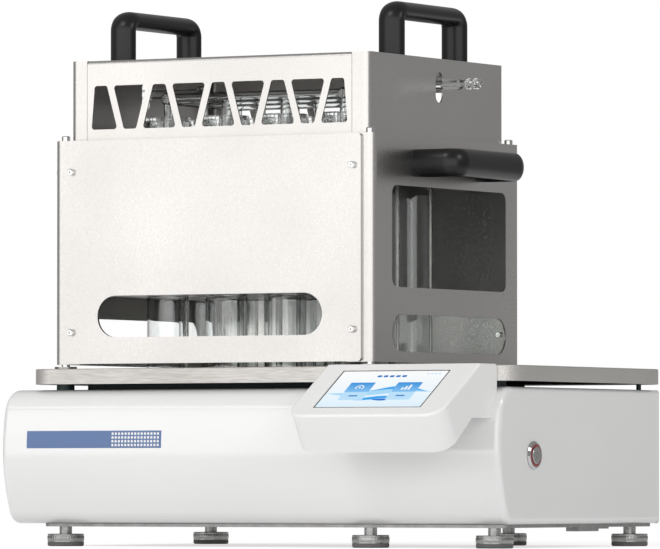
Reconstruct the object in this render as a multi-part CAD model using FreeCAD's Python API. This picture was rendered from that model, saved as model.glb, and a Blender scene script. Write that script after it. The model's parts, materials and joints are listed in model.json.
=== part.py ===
# Bench block digester: a heated graphite block in a low white housing, a lift-out
# rack with twelve glass digestion tubes, and a slotted fume hood with a glass
# collecting manifold. Millimetres, +Z up, front towards -Y, origin on the floor
# under the centre of the whole object's box.
import FreeCAD, Part
import math
import os

V = FreeCAD.Vector

# General clearances and sheet sizes
cut_over = 1.0
free_gap = 0.3
running_gap = 0.1
panel_sheet = 1.5
corner_bend = 6.5

# The tubes' grid, on which block, rack and hood are laid out
tube_pitch = 68.4
tube_columns = 4
tube_rows = 3
tube_shift = 3.4

# Levelling feet
foot_radius = 18.2
pad_height = 4.0
pad_edge = 1.2
foot_disc_height = 8.5
foot_disc_chamfer = 0.6
foot_neck_height = 7.3
foot_stem_radius = 6.3
foot_stem_length = 26.0
foot_bush_radius = 11.0
foot_bush_height = 9.0
foot_left_inset = 56.1
foot_middle_offset = 3.5
foot_right_inset = 22.7
foot_row_inset = 20.9

# Base housing
base_left_margin = 47.9
base_back_margin = 12.4
base_bulge = 12.5
base_height = 133.7
bulge_radius = 165.0
bulge_level = 75.2
top_front_round = 26.0
bottom_front_round = 18.0
housing_end_round = 6.0
housing_wall = 2.0
housing_flange = 12.0
housing_floor_margin = 36.0
bottom_plate_thickness = 3.0
bottom_plate_left_inset = 34.0
bottom_plate_front_inset = 12.9
bottom_plate_inset = 4.7
bottom_plate_corner = 8.0
lug_side_inset = 7.0
lug_width = 14.0
lug_start_y = 2.5
lug_length = 42.5
lug_height = 4.1
lug_step_length = 21.5
lug_step_height = 1.7

# Rear cover, its vents, inlet, fuse and fan
cover_corner = 2.5
vent_slot_length = 34.0
vent_slot_width = 4.0
vent_pitch = 9.0
vent_count = 14
vent_shift = 7.8
low_vent_rise = 35.2
high_vent_rise = 85.2
inlet_fan_pitch = 72.0
inlet_flange_width = 30.0
inlet_flange_height = 50.0
inlet_flange_thickness = 3.0
inlet_flange_round = 3.0
inlet_body_width = 27.0
inlet_body_height = 20.0
inlet_body_depth = 22.0
socket_width = 24.6
socket_height = 17.0
socket_depth = 16.0
socket_chamfer = 4.0
pin_width = 2.0
pin_height = 4.0
pin_length = 13.0
pin_pitch = 7.0
pin_rise = 3.5
inlet_screw_pitch = 40.0
fuse_radius = 6.5
fuse_cap_radius = 8.0
fuse_cap_height = 6.0
fuse_body_length = 30.0
fan_end_margin = 68.9
fan_rise = 69.2
fan_size = 60.0
fan_depth = 25.0
fan_corner = 5.0
fan_bore_radius = 27.5
fan_screw_pitch = 50.0
fan_hub_radius = 14.0
fan_hub_length = 18.0
fan_blade_count = 7
fan_blade_sheet = 1.6
fan_blade_tip_gap = 1.2
fan_blade_pitch_angle = 38.0
fan_spindle_radius = 2.5
fan_spindle_length = 6.0
fan_strut_width = 5.0
fan_strut_thickness = 3.0
grille_slot_width = 3.2
grille_slot_pitch = 6.0
cover_screw_radius = 3.0
cover_screw_head = 2.0
cover_screw_shank_radius = 1.5
cover_screw_length = 7.0
cover_screw_columns = 4

# Tray on top of the base
tray_left_inset = 20.5
tray_right_overhang = 4.4
tray_front_margin = 9.5
tray_back_margin = 21.5
tray_corner = 25.0
tray_gap = 5.6
tray_rim_height = 15.4
tray_rim_sheet = 2.0
tray_edge_round = 1.2
tray_hole_radius = 23.5
liner_rise = 0.6
liner_inset = 1.0
front_spacer_radius = 9.0
front_spacer_inset_x = 29.5
front_spacer_inset_y = 27.2
rear_stud_radius = 2.5
rear_stud_inset_x = 19.5
rear_stud_inset_y = 15.2
heat_board_left_margin = 12.9
heat_board_right_margin = 51.9
heat_board_margin_y = 7.1

# Furnace inside the base
block_margin = 28.0
block_height = 64.0
block_floor = 10.0
block_edge_round = 3.0
well_radius = 21.7
block_drop = 70.5
heater_height = 8.0
heater_groove_width = 6.0
heater_groove_depth = 3.0
jacket_side = 20.0
jacket_floor = 24.0
case_sheet = 1.2
case_corner = 6.0
leg_radius = 6.0
leg_inset = 26.0
probe_radius = 2.0
probe_insert = 42.0
probe_head_radius = 5.0
probe_head_length = 12.0
probe_level = 18.0

# Electronics bay
partition_gap = 20.1
partition_foot = 14.0
partition_end_gap = 44.9
partition_top_gap = 15.7
bay_gap = 12.0
bay_end_margin = 39.9
board_front_gap = 6.0
board_width = 92.0
board_depth = 96.0
board_thickness = 1.6
board_post = 12.0
board_post_radius = 3.0
board_post_inset = 5.0
capacitor_radius = 6.5
capacitor_height = 20.0
terminal_width = 60.0
terminal_depth = 9.0
terminal_height = 12.0
chip_size = 14.0
chip_height = 2.5
supply_width = 98.0
supply_depth = 42.0
supply_height = 38.0
supply_slot_width = 3.0
supply_slot_pitch = 8.0
sink_width = 84.0
sink_depth = 60.0
sink_base = 6.0
sink_fin_height = 22.0
sink_fin_width = 2.0
sink_fin_count = 9
relay_width = 58.0
relay_depth = 44.0
relay_height = 24.0
relay_slot = 8.0

# Display housing and touch screen
display_right_inset = 10.1
display_width = 170.0
display_tilt = 31.2
display_slope_length = 97.0
display_thickness = 41.5
display_shoulder = 32.5
display_back_gap = 0.5
display_top_rise = 0.8
display_corner = 19.0
display_edge_round = 2.5
display_wall = 3.2
display_heel_drop = 30.7
display_heel_reach = 17.8
screen_width = 118.6
screen_height = 70.5
screen_top_margin = 11.8
screen_shift = -1.4
screen_glass = 1.8
screen_recess = 0.3
screen_ledge = 4.0
screen_module_depth = 11.0

# Power button on the right side
button_front_inset = 58.1
button_rise = 67.4
bezel_radius = 13.8
bezel_height = 3.0
bezel_edge = 1.8
bezel_barrel_radius = 12.0
bezel_barrel_length = 22.0
bezel_bore_radius = 10.6
light_ring_width = 2.0
light_ring_depth = 6.0
bezel_floor = 4.0
cap_height = 1.2
cap_depth = 12.0
cap_edge = 0.5
cap_pin_radius = 3.0
cap_pin_below = 2.0

# Rack
rack_margin_x = 81.2
rack_margin_y = 82.1
rack_y = 0.0
rack_height = 224.4
rack_gap = 4.3
rack_flange = 30.0
front_plate_side_inset = 12.8
front_plate_thickness = 3.0
front_plate_inset = 0.5
front_plate_corner = 4.0
front_slot_reach = 26.85
front_slot_height = 41.6
front_slot_rise = 47.6
front_slot_shift = -2.0
window_end_margin = 33.15
window_height = 100.2
window_rise = 124.3
window_corner = 9.0
side_slot_height = 36.8
side_slot_rise = 29.1
window_shift = 3.9
rod_radius = 4.2
rod_inset_x = 8.2
rod_inset_y = 8.2
rod_above = 5.2
rod_chamfer = 0.8
rod_shoulder_radius = 6.2
rod_shoulder_height = 8.0
seat_radius = 11.2
seat_height = 2.2
screw_side_inset = 21.8
screw_low_rise = 32.0
screw_high_rise = 192.7
screw_head_radius = 3.5
screw_head_height = 4.0
screw_shank_radius = 2.5
screw_shank_length = 9.0
screw_socket_width = 3.2
screw_socket_depth = 2.0
tube_plate_drop = 1.0
tube_plate_sheet = 2.0
tube_plate_flange_height = 10.8
tube_plate_step_x = 12.2
tube_plate_step_y = 8.8
lower_plate_rise = 69.6
lower_plate_sheet = 2.5
lower_plate_flange = 17.0
lower_plate_end_gap = 20.5

# Digestion tubes
tube_radius = 21.0
tube_wall = 2.0
tube_bottom_round = 12.0
tube_top_rise = 21.1
tube_bead_radius = 23.4
tube_bead_height = 4.0
tube_rim_radius = 23.4
tube_rim_height = 6.0

# Hood
hood_step_x = 11.6
hood_step_y = 11.7
hood_top_rise = 80.4
hood_seam_inset = 19.6
hood_seam_gap = 0.4
hood_fold_round = 4.0
hood_window_count = 9
hood_window_height = 43.8
hood_window_rise = 11.2
hood_window_wide = 38.8
hood_window_narrow = 14.4
hood_window_corner = 3.0
hood_window_end_inset = 24.6
hood_slot_width = 14.5
hood_slot_height = 30.4
hood_slot_rise = 36.4

# Handles
handle_pitch = 129.0
handle_height = 54.6
handle_wide = 28.0
handle_thick = 18.0
handle_bend_radius = 11.0
handle_inset = 16.2
side_handle_drop = 27.2

# Glass manifold over the tubes
cap_disc_radius = 22.8
cap_disc_height = 4.0
cap_spigot_radius = 17.8
cap_spigot_depth = 9.0
cap_bore_radius = 5.1
cap_lid_gap = 0.3
stem_radius = 5.0
stem_wall = 1.5
header_radius = 5.5
header_rise = 22.9
cross_radius = 6.0
cross_end_round = 2.0
riser_radius = 6.4
outlet_radius = 5.3
outlet_wall = 2.2
outlet_rise = 54.0
outlet_reach = 46.6
barb_length = 16.0
barb_count = 2
barb_radius = 5.8
barb_neck_radius = 4.0

# Levels and places that follow from the sizes above
tube_reach_x = (tube_columns - 1) * tube_pitch / 2
tube_reach_y = (tube_rows - 1) * tube_pitch / 2
rack_half_x = tube_reach_x + rack_margin_x
rack_half_y = tube_reach_y + rack_margin_y
furnace_y = rack_y + tube_shift
block_half_x = tube_reach_x + block_margin
block_half_y = tube_reach_y + block_margin
case_half_x = block_half_x + jacket_side + free_gap + case_sheet
case_half_y = block_half_y + jacket_side + free_gap + case_sheet
bay_length = partition_gap + partition_foot + bay_gap + supply_width + bay_end_margin
base_half_width = (base_left_margin + rack_half_x + case_half_x + bay_length) / 2
base_half_depth = rack_half_y + base_back_margin
rack_x = -base_half_width + base_left_margin + rack_half_x
base_bottom = pad_height + foot_disc_height + foot_neck_height + bottom_plate_thickness
base_top = base_bottom + base_height
tray_bottom = base_top + tray_gap
tray_top = tray_bottom + tray_rim_height
liner_bottom = tray_bottom + liner_rise
rack_bottom = tray_top + rack_gap
rack_top = rack_bottom + rack_height
tube_plate_top = rack_top - tube_plate_drop
tube_top = rack_top + tube_top_rise
block_level = base_top - block_drop
tube_bottom = block_level + block_floor + free_gap
hood_top = rack_top + hood_top_rise
outlet_level = rack_top + outlet_rise
case_bottom = block_level - heater_height - jacket_floor - case_sheet - free_gap
cover_inner_y = base_half_depth - panel_sheet
foot_left_x = -base_half_width + foot_left_inset
foot_right_x = base_half_width - foot_right_inset
foot_row_y = base_half_depth - foot_row_inset
partition_x = rack_x + case_half_x + partition_gap
foot_middle_x = partition_x + foot_middle_offset
partition_half_depth = base_half_depth - partition_end_gap
partition_height = base_height - partition_top_gap
bay_right = partition_x + partition_foot + bay_gap + supply_width
board_x = bay_right - board_width
board_y = -partition_half_depth + board_front_gap
supply_x = bay_right - supply_width
supply_y = board_y + board_depth + bay_gap
sink_x = bay_right - sink_width
sink_y = supply_y + supply_depth + bay_gap
vent_centre_x = rack_x - vent_shift
vent_low_z = base_bottom + low_vent_rise
vent_high_z = base_bottom + high_vent_rise
fan_x = base_half_width - fan_end_margin
fan_z = base_bottom + fan_rise
inlet_x = fan_x - inlet_fan_pitch
inlet_z = vent_low_z
fuse_z = vent_high_z
tray_left = base_half_width - tray_left_inset
tray_right = base_half_width + tray_right_overhang
tray_front = rack_half_y + tray_front_margin
tray_back = rack_half_y + tray_back_margin
heat_board_left = case_half_x + heat_board_left_margin
heat_board_right = case_half_x + heat_board_right_margin
heat_board_half_depth = case_half_y + heat_board_margin_y
button_y = -base_half_depth + button_front_inset
button_z = base_bottom + button_rise
front_plate_width = 2 * (rack_half_x - front_plate_side_inset)
front_slot_length = 2 * (tube_reach_x + front_slot_reach)
window_length = 2 * (rack_half_y - window_end_margin)
screw_x = rack_half_x - screw_side_inset
hood_half_x = rack_half_x - hood_step_x
hood_half_y = rack_half_y - hood_step_y
hood_seam_x = hood_half_x - hood_seam_inset
hood_window_end_x = hood_half_x - hood_window_end_inset
tube_plate_flange_half_x = hood_half_x - tube_plate_step_x
tube_plate_flange_half_y = hood_half_y - tube_plate_step_y
display_left_x = base_half_width - display_right_inset - display_width
display_back_y = tray_front + display_back_gap
display_heel_level = base_top - display_heel_drop
display_drop = display_slope_length * math.sin(math.radians(display_tilt))
display_run = display_slope_length * math.cos(math.radians(display_tilt))
display_top = tray_top + display_top_rise
display_front_y = -(display_back_y + display_shoulder + display_run)
display_toe_level = display_top - display_drop
box_left = rack_x - rack_half_x - handle_height
box_right = tray_right
box_front = display_front_y
box_back = tray_back
centre_x = (box_left + box_right) / 2
centre_y = (box_front + box_back) / 2


def box(x0, x1, y0, y1, z0, z1):
    return Part.makeBox(x1 - x0, y1 - y0, z1 - z0, V(x0, y0, z0))


def slab(x0, x1, y0, y1, z0, z1, corner):
    """A box with rounded upright edges."""
    block = box(x0, x1, y0, y1, z0, z1)
    upright = [e for e in block.Edges if e.BoundBox.ZLength > (z1 - z0) / 2]
    return block.makeFillet(corner, upright)


def cylinder(x, y, z0, z1, radius):
    return Part.makeCylinder(radius, z1 - z0, V(x, y, z0), V(0, 0, 1))


def rod_along(start, axis, length, radius):
    return Part.makeCylinder(radius, length, start, axis)


def turned(points, base=V(0, 0, 0), axis=V(0, 0, 1)):
    """Revolve an outline of (radius, height) points about its axis, standing on base."""
    wire = Part.makePolygon([V(r, 0, z) for r, z in points] + [V(points[0][0], 0, points[0][1])])
    solid = Part.Face(wire).revolve(V(0, 0, 0), V(0, 0, 1), 360)
    turn = FreeCAD.Rotation(V(0, 0, 1), axis)
    solid.Placement = FreeCAD.Placement(base, turn)
    return solid


def outline_solid(points, rounds, sweep):
    """Extrude a closed outline along sweep, with its corners rounded one by one."""
    edges = []
    count = len(points)
    starts = []
    ends = []
    for i in range(count):
        here = points[i]
        back = (points[i - 1] - here).normalize()
        on = (points[(i + 1) % count] - here).normalize()
        half = back.getAngle(on) / 2
        reach = rounds[i] / math.tan(half)
        starts.append(here + back * reach)
        ends.append(here + on * reach)
        if rounds[i] > 0:
            middle_way = (back + on).normalize()
            depth = rounds[i] / math.sin(half) - rounds[i]
            edges.append(Part.Arc(starts[i], here + middle_way * depth, ends[i]).toShape())
    for i in range(count):
        edges.append(Part.LineSegment(ends[i], starts[(i + 1) % count]).toShape())
    wire = Part.Wire(Part.sortEdges(edges)[0])
    return Part.Face(wire).extrude(sweep)


def rounded_hole(centre, across, up, width, height, corner, through):
    """A rounded rectangle through a wall: centred, spanned by two directions, swept along through."""
    start = centre - through / 2
    corners = []
    for sx, sy in ((-1, -1), (1, -1), (1, 1), (-1, 1)):
        corners.append(start + across * (sx * width / 2) + up * (sy * height / 2))
    return outline_solid(corners, [corner] * len(corners), through)


def obround(centre, across, up, width, height, through):
    """A slot with round ends, its long side along across or up."""
    start = centre - through / 2
    radius = min(width, height) / 2
    long_way = across if width > height else up
    side = (up if width > height else across) * radius
    run = long_way * (max(width, height) / 2 - radius)
    tip = long_way * (max(width, height) / 2)
    pieces = [
        Part.LineSegment(start - run + side, start + run + side).toShape(),
        Part.Arc(start + run + side, start + tip, start + run - side).toShape(),
        Part.LineSegment(start + run - side, start - run - side).toShape(),
        Part.Arc(start - run - side, start - tip, start - run + side).toShape(),
    ]
    return Part.Face(Part.Wire(pieces)).extrude(through)


def fuse_all(shapes):
    whole = shapes[0]
    if len(shapes) > 1:
        whole = whole.multiFuse(shapes[1:])
    return whole.removeSplitter()


def group(shapes):
    return Part.makeCompound(shapes)


def tube_places():
    """Centres of the tubes, row by row from the front left."""
    places = []
    for j in range(tube_rows):
        for i in range(tube_columns):
            x = rack_x + i * tube_pitch - tube_reach_x
            y = furnace_y + j * tube_pitch - tube_reach_y
            places.append((x, y))
    return places


def foot_places():
    places = []
    for y in (-foot_row_y, foot_row_y):
        for x in (foot_left_x, foot_middle_x, foot_right_x):
            places.append((x, y))
    return places


def rack_corner_places():
    places = []
    for sx in (-1, 1):
        for sy in (-1, 1):
            places.append((rack_x + sx * (rack_half_x - rod_inset_x),
                           rack_y + sy * (rack_half_y - rod_inset_y)))
    return places


# Levelling feet

def foot_post():
    disc_top = pad_height + foot_disc_height
    points = [
        (0, pad_height),
        (foot_radius - foot_disc_chamfer / 2, pad_height),
        (foot_radius, pad_height + foot_disc_chamfer / 2),
        (foot_radius, disc_top - foot_disc_chamfer),
        (foot_radius - foot_disc_chamfer, disc_top),
        (foot_stem_radius, disc_top),
        (foot_stem_radius, disc_top + foot_stem_length),
        (0, disc_top + foot_stem_length),
    ]
    return turned(points)


def foot_pad():
    points = [
        (0, 0),
        (foot_radius - pad_edge, 0),
        (foot_radius, pad_edge),
        (foot_radius, pad_height),
        (0, pad_height),
    ]
    return turned(points)


def foot_bushes():
    """Threaded bushes on the housing's floor, trimmed where they meet its curved front."""
    bottom = base_bottom + housing_wall
    inside = housing_body(housing_wall, cover_inner_y - housing_wall)
    bushes = []
    for x, y in foot_places():
        bush = cylinder(x, y, bottom, bottom + foot_bush_height, foot_bush_radius).common(inside)
        bore = cylinder(x, y, bottom - cut_over, bottom + foot_bush_height + cut_over,
                        foot_stem_radius + running_gap)
        bushes.append(bush.cut(bore))
    return group(bushes)


# Base housing: a bulged front that flows into both ends

def housing_body(inset, back_y):
    """The closed body inside the housing's outer skin, drawn in by inset on every side but the back."""
    half = base_half_width - inset
    top = base_top - inset
    bottom = base_bottom + inset
    radius = bulge_radius - inset
    level = base_bottom + bulge_level
    front = -(base_half_depth + base_bulge) + inset
    top_y = front + radius - math.sqrt(radius ** 2 - (top - level) ** 2)
    bottom_y = front + radius - math.sqrt(radius ** 2 - (level - bottom) ** 2)
    edges = [
        Part.LineSegment(V(-half, back_y, bottom), V(-half, bottom_y, bottom)).toShape(),
        Part.Arc(V(-half, bottom_y, bottom), V(-half, front, level), V(-half, top_y, top)).toShape(),
        Part.LineSegment(V(-half, top_y, top), V(-half, back_y, top)).toShape(),
        Part.LineSegment(V(-half, back_y, top), V(-half, back_y, bottom)).toShape(),
    ]
    body = Part.Face(Part.Wire(edges)).extrude(V(2 * half, 0, 0))
    long_edges = [e for e in body.Edges if e.BoundBox.XLength > half]
    top_edge = [e for e in long_edges if e.BoundBox.YMax < 0 and e.BoundBox.ZMin > level]
    body = body.makeFillet(top_front_round - inset, top_edge)
    long_edges = [e for e in body.Edges if e.BoundBox.XLength > half]
    bottom_edge = [e for e in long_edges if abs(e.BoundBox.YMax - bottom_y) < free_gap
                   and e.BoundBox.ZMax < level]
    body = body.makeFillet(bottom_front_round - inset, bottom_edge)
    if housing_end_round > inset:
        end_edges = []
        for e in body.Edges:
            flat = e.BoundBox.XLength < free_gap
            at_back = e.BoundBox.YMin > back_y - free_gap
            if flat and not at_back:
                end_edges.append(e)
        body = body.makeFillet(housing_end_round - inset, end_edges)
    return body


def furnace_cutter(z0, z1, gap):
    return slab(rack_x - case_half_x - gap, rack_x + case_half_x + gap,
                furnace_y - case_half_y - gap, furnace_y + case_half_y + gap, z0, z1, case_corner + gap)


def base_housing():
    skin = housing_body(0, cover_inner_y)
    hollow = housing_body(housing_wall, cover_inner_y - housing_wall)
    skin = skin.cut(hollow)
    back_opening = slab(-base_half_width + housing_flange, base_half_width - housing_flange,
                        base_bottom + housing_flange, base_top - housing_flange,
                        -cover_inner_y - cut_over, -cover_inner_y + housing_wall + cut_over, housing_end_round)
    back_opening.rotate(V(0, 0, 0), V(1, 0, 0), 90)
    floor_opening = slab(-base_half_width + 2 * housing_floor_margin, base_half_width - housing_floor_margin,
                         -base_half_depth + housing_floor_margin, base_half_depth - housing_floor_margin,
                         base_bottom - cut_over, base_bottom + housing_wall + cut_over, bottom_plate_corner)
    roof_opening = furnace_cutter(base_top - housing_wall - cut_over, base_top + cut_over, free_gap)
    button_hole = rod_along(V(base_half_width - housing_wall - cut_over, button_y, button_z), V(1, 0, 0),
                            housing_wall + 2 * cut_over, bezel_barrel_radius + free_gap)
    holes = [back_opening, floor_opening, roof_opening, button_hole]
    for x, y in foot_places():
        holes.append(cylinder(x, y, base_bottom - cut_over, base_bottom + housing_wall + cut_over,
                              foot_stem_radius + free_gap))
    for x, z in cover_screw_places():
        holes.append(rod_along(V(x, cover_inner_y + cut_over, z), V(0, -1, 0),
                               housing_wall + 2 * cut_over, cover_screw_shank_radius + free_gap))
    return skin.cut(holes)


def bottom_plate():
    """Plate under the housing, with a low stepped lug near its right edge."""
    bottom = base_bottom - bottom_plate_thickness
    plate = slab(-base_half_width + bottom_plate_left_inset, base_half_width - bottom_plate_inset,
                 -base_half_depth + bottom_plate_front_inset, base_half_depth - bottom_plate_inset,
                 bottom, base_bottom, bottom_plate_corner)
    holes = []
    for x, y in foot_places():
        holes.append(cylinder(x, y, bottom - cut_over, base_bottom + cut_over, foot_stem_radius + free_gap))
    lug_right = base_half_width - lug_side_inset
    lug_end = lug_start_y + lug_length
    lug = box(lug_right - lug_width, lug_right, lug_start_y, lug_end, bottom - lug_height, bottom)
    step = box(lug_right - lug_width, lug_right, lug_end, lug_end + lug_step_length,
               bottom - lug_step_height, bottom)
    return fuse_all([plate, lug, step]).cut(holes)


# Rear cover and what it carries

def cover_screw_places():
    places = []
    half = base_half_width - housing_flange / 2
    low = base_bottom + housing_flange / 2
    high = base_top - housing_flange / 2
    for i in range(cover_screw_columns):
        x = -half + 2 * half * i / (cover_screw_columns - 1)
        places.append((x, low))
        places.append((x, high))
    return places


def cover_screws():
    head = [
        (0, 0),
        (cover_screw_radius, 0),
        (cover_screw_radius, cover_screw_head / 2),
        (cover_screw_radius / 2, cover_screw_head),
        (0, cover_screw_head),
    ]
    screws = []
    for x, z in cover_screw_places():
        top = turned(head, V(x, base_half_depth, z), V(0, 1, 0))
        shank = rod_along(V(x, base_half_depth, z), V(0, -1, 0),
                          cover_screw_length, cover_screw_shank_radius)
        screws.append(fuse_all([top, shank]))
    return group(screws)


def rear_cover():
    cover = slab(-base_half_width, base_half_width, base_bottom, base_top,
                 -base_half_depth, -cover_inner_y, cover_corner)
    cover.rotate(V(0, 0, 0), V(1, 0, 0), 90)
    middle_y = (base_half_depth + cover_inner_y) / 2
    through = V(0, panel_sheet + 2 * cut_over, 0)
    across = V(1, 0, 0)
    up = V(0, 0, 1)
    holes = []
    for z in (vent_low_z, vent_high_z):
        for i in range(vent_count):
            x = vent_centre_x + (i - (vent_count - 1) / 2) * vent_pitch
            holes.append(obround(V(x, middle_y, z), across, up, vent_slot_width, vent_slot_length, through))
    rows = int(2 * fan_bore_radius / grille_slot_pitch)
    for i in range(rows):
        z = (i - (rows - 1) / 2) * grille_slot_pitch
        half = math.sqrt((fan_bore_radius - grille_slot_width) ** 2 - z ** 2)
        holes.append(obround(V(fan_x, middle_y, fan_z + z), across, up,
                             2 * half, grille_slot_width, through))
    holes.append(rounded_hole(V(inlet_x, middle_y, inlet_z), across, up, inlet_body_width + free_gap,
                              inlet_body_height + free_gap, inlet_flange_round / 2, through))
    for s in (-1, 1):
        holes.append(rod_along(V(inlet_x, cover_inner_y - cut_over, inlet_z + s * inlet_screw_pitch / 2),
                               V(0, 1, 0), panel_sheet + 2 * cut_over, cover_screw_shank_radius + free_gap))
    holes.append(rod_along(V(inlet_x, cover_inner_y - cut_over, fuse_z), V(0, 1, 0),
                           panel_sheet + 2 * cut_over, fuse_radius + free_gap))
    for x, z in cover_screw_places():
        holes.append(rod_along(V(x, cover_inner_y - cut_over, z), V(0, 1, 0),
                               panel_sheet + 2 * cut_over, cover_screw_shank_radius + free_gap))
    return cover.cut(holes)


def power_inlet():
    """Three-pin mains socket with a screw flange on the outside of the cover."""
    across = V(1, 0, 0)
    up = V(0, 0, 1)
    front = base_half_depth + inlet_flange_thickness
    flange = rounded_hole(V(inlet_x, base_half_depth + inlet_flange_thickness / 2, inlet_z), across, up,
                          inlet_flange_width, inlet_flange_height, inlet_flange_round,
                          V(0, inlet_flange_thickness, 0))
    body = rounded_hole(V(inlet_x, base_half_depth - inlet_body_depth / 2, inlet_z), across, up,
                        inlet_body_width, inlet_body_height, inlet_flange_round / 2,
                        V(0, inlet_body_depth, 0))
    half_w = socket_width / 2
    half_h = socket_height / 2
    deep = front - socket_depth
    corners = [
        V(inlet_x - half_w, deep, inlet_z - half_h),
        V(inlet_x + half_w, deep, inlet_z - half_h),
        V(inlet_x + half_w, deep, inlet_z + half_h - socket_chamfer),
        V(inlet_x + half_w - socket_chamfer, deep, inlet_z + half_h),
        V(inlet_x - half_w + socket_chamfer, deep, inlet_z + half_h),
        V(inlet_x - half_w, deep, inlet_z + half_h - socket_chamfer),
    ]
    socket = outline_solid(corners, [0] * len(corners), V(0, socket_depth + cut_over, 0))
    cuts = [socket]
    for s in (-1, 1):
        cuts.append(rod_along(V(inlet_x, base_half_depth - cut_over, inlet_z + s * inlet_screw_pitch / 2),
                              V(0, 1, 0), inlet_flange_thickness + 2 * cut_over,
                              cover_screw_shank_radius + free_gap))
    shell = fuse_all([flange, body]).cut(cuts)
    pins = []
    for i, rise in ((-1, 0), (0, pin_rise), (1, 0)):
        x = inlet_x + i * pin_pitch
        pins.append(box(x - pin_width / 2, x + pin_width / 2, deep, deep + pin_length,
                        inlet_z + rise - pin_height / 2, inlet_z + rise + pin_height / 2))
    return fuse_all([shell] + pins)


def fuse_holder():
    body = rod_along(V(inlet_x, base_half_depth, fuse_z), V(0, -1, 0), fuse_body_length, fuse_radius)
    points = [
        (0, 0),
        (fuse_cap_radius, 0),
        (fuse_cap_radius, fuse_cap_height / 2),
        (fuse_cap_radius - fuse_cap_height / 3, fuse_cap_height),
        (0, fuse_cap_height),
    ]
    cap = turned(points, V(inlet_x, base_half_depth, fuse_z), V(0, 1, 0))
    slot = box(inlet_x - fuse_radius / 2, inlet_x + fuse_radius / 2, base_half_depth + fuse_cap_height / 2,
               base_half_depth + fuse_cap_height + cut_over, fuse_z - pin_width / 2, fuse_z + pin_width / 2)
    return fuse_all([body, cap]).cut(slot)


def fan_frame():
    back = cover_inner_y
    front = back - fan_depth
    frame = rounded_hole(V(fan_x, (back + front) / 2, fan_z), V(1, 0, 0), V(0, 0, 1),
                         fan_size, fan_size, fan_corner, V(0, fan_depth, 0))
    bore = rod_along(V(fan_x, front - cut_over, fan_z), V(0, 1, 0),
                     fan_depth + 2 * cut_over, fan_bore_radius)
    frame = frame.cut(bore)
    hub = rod_along(V(fan_x, front, fan_z), V(0, 1, 0), fan_strut_thickness, fan_hub_radius)
    struts = [hub]
    reach = fan_bore_radius + fan_strut_width / 2
    struts.append(box(fan_x - reach, fan_x + reach, front, front + fan_strut_thickness,
                      fan_z - fan_strut_width / 2, fan_z + fan_strut_width / 2))
    struts.append(box(fan_x - fan_strut_width / 2, fan_x + fan_strut_width / 2, front,
                      front + fan_strut_thickness, fan_z - reach, fan_z + reach))
    spindle = rod_along(V(fan_x, front, fan_z), V(0, 1, 0), fan_strut_thickness + fan_spindle_length,
                        fan_spindle_radius)
    frame = fuse_all([frame] + struts + [spindle])
    holes = []
    for sx in (-1, 1):
        for sz in (-1, 1):
            holes.append(rod_along(V(fan_x + sx * fan_screw_pitch / 2, front - cut_over,
                                     fan_z + sz * fan_screw_pitch / 2), V(0, 1, 0),
                                   fan_depth + 2 * cut_over, cover_screw_shank_radius + free_gap))
    return frame.cut(holes)


def fan_rotor():
    """Hub and twisted blades, with a blind bore that runs on the frame's spindle."""
    start = cover_inner_y - fan_depth + fan_strut_thickness + free_gap
    hub = rod_along(V(0, 0, 0), V(0, 0, 1), fan_hub_length, fan_hub_radius)
    tip = fan_bore_radius - fan_blade_tip_gap
    blades = []
    for i in range(fan_blade_count):
        blade = box(fan_hub_radius / 2, tip, -fan_blade_sheet / 2, fan_blade_sheet / 2,
                    -fan_hub_length / 2, fan_hub_length / 2)
        blade.rotate(V(0, 0, 0), V(1, 0, 0), fan_blade_pitch_angle)
        blade.translate(V(0, 0, fan_hub_length / 2))
        blade.rotate(V(0, 0, 0), V(0, 0, 1), 360 * i / fan_blade_count)
        blades.append(blade)
    sweep = rod_along(V(0, 0, 0), V(0, 0, 1), fan_hub_length, tip)
    rotor = fuse_all([hub] + blades).common(sweep)
    bore = rod_along(V(0, 0, -cut_over), V(0, 0, 1), fan_spindle_length + free_gap + cut_over,
                     fan_spindle_radius + running_gap)
    rotor = rotor.cut(bore)
    rotor.rotate(V(0, 0, 0), V(1, 0, 0), -90)
    rotor.translate(V(fan_x, start, fan_z))
    return rotor


# Tray and boards between base and rack

def heat_tray():
    tray = slab(-tray_left, tray_right, -tray_front, tray_back, tray_bottom, tray_top, tray_corner)
    rim_edges = [e for e in tray.Edges if e.BoundBox.ZMin > tray_top - free_gap]
    tray = tray.makeFillet(tray_edge_round, rim_edges)
    inner = slab(-tray_left + tray_rim_sheet, tray_right - tray_rim_sheet,
                 -tray_front + tray_rim_sheet, tray_back - tray_rim_sheet,
                 tray_bottom - cut_over, tray_top - panel_sheet, tray_corner - tray_rim_sheet)
    tray = tray.cut(inner)
    holes = []
    for x, y in tube_places():
        holes.append(cylinder(x, y, tray_top - panel_sheet - cut_over,
                              tray_top + cut_over, tray_hole_radius))
    return tray.cut(holes)


def tray_liner():
    inset = tray_rim_sheet + liner_inset
    liner = slab(-tray_left + inset, tray_right - inset, -tray_front + inset, tray_back - inset,
                 liner_bottom, tray_top - panel_sheet, tray_corner - inset)
    hollow = slab(rack_x - block_half_x, rack_x + block_half_x,
                  furnace_y - block_half_y, furnace_y + block_half_y,
                  liner_bottom - cut_over, tray_top - panel_sheet + cut_over, case_corner)
    return liner.cut(hollow)


def tray_spacers():
    spacers = []
    front_y = -tray_front + front_spacer_inset_y
    rear_y = base_half_depth - rear_stud_inset_y
    for end, inwards in ((-tray_left, 1), (tray_right, -1)):
        spacers.append(cylinder(end + inwards * front_spacer_inset_x, front_y, base_top, liner_bottom,
                                front_spacer_radius))
        spacers.append(cylinder(end + inwards * rear_stud_inset_x, rear_y, base_top, liner_bottom,
                                rear_stud_radius))
    return group(spacers)


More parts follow.
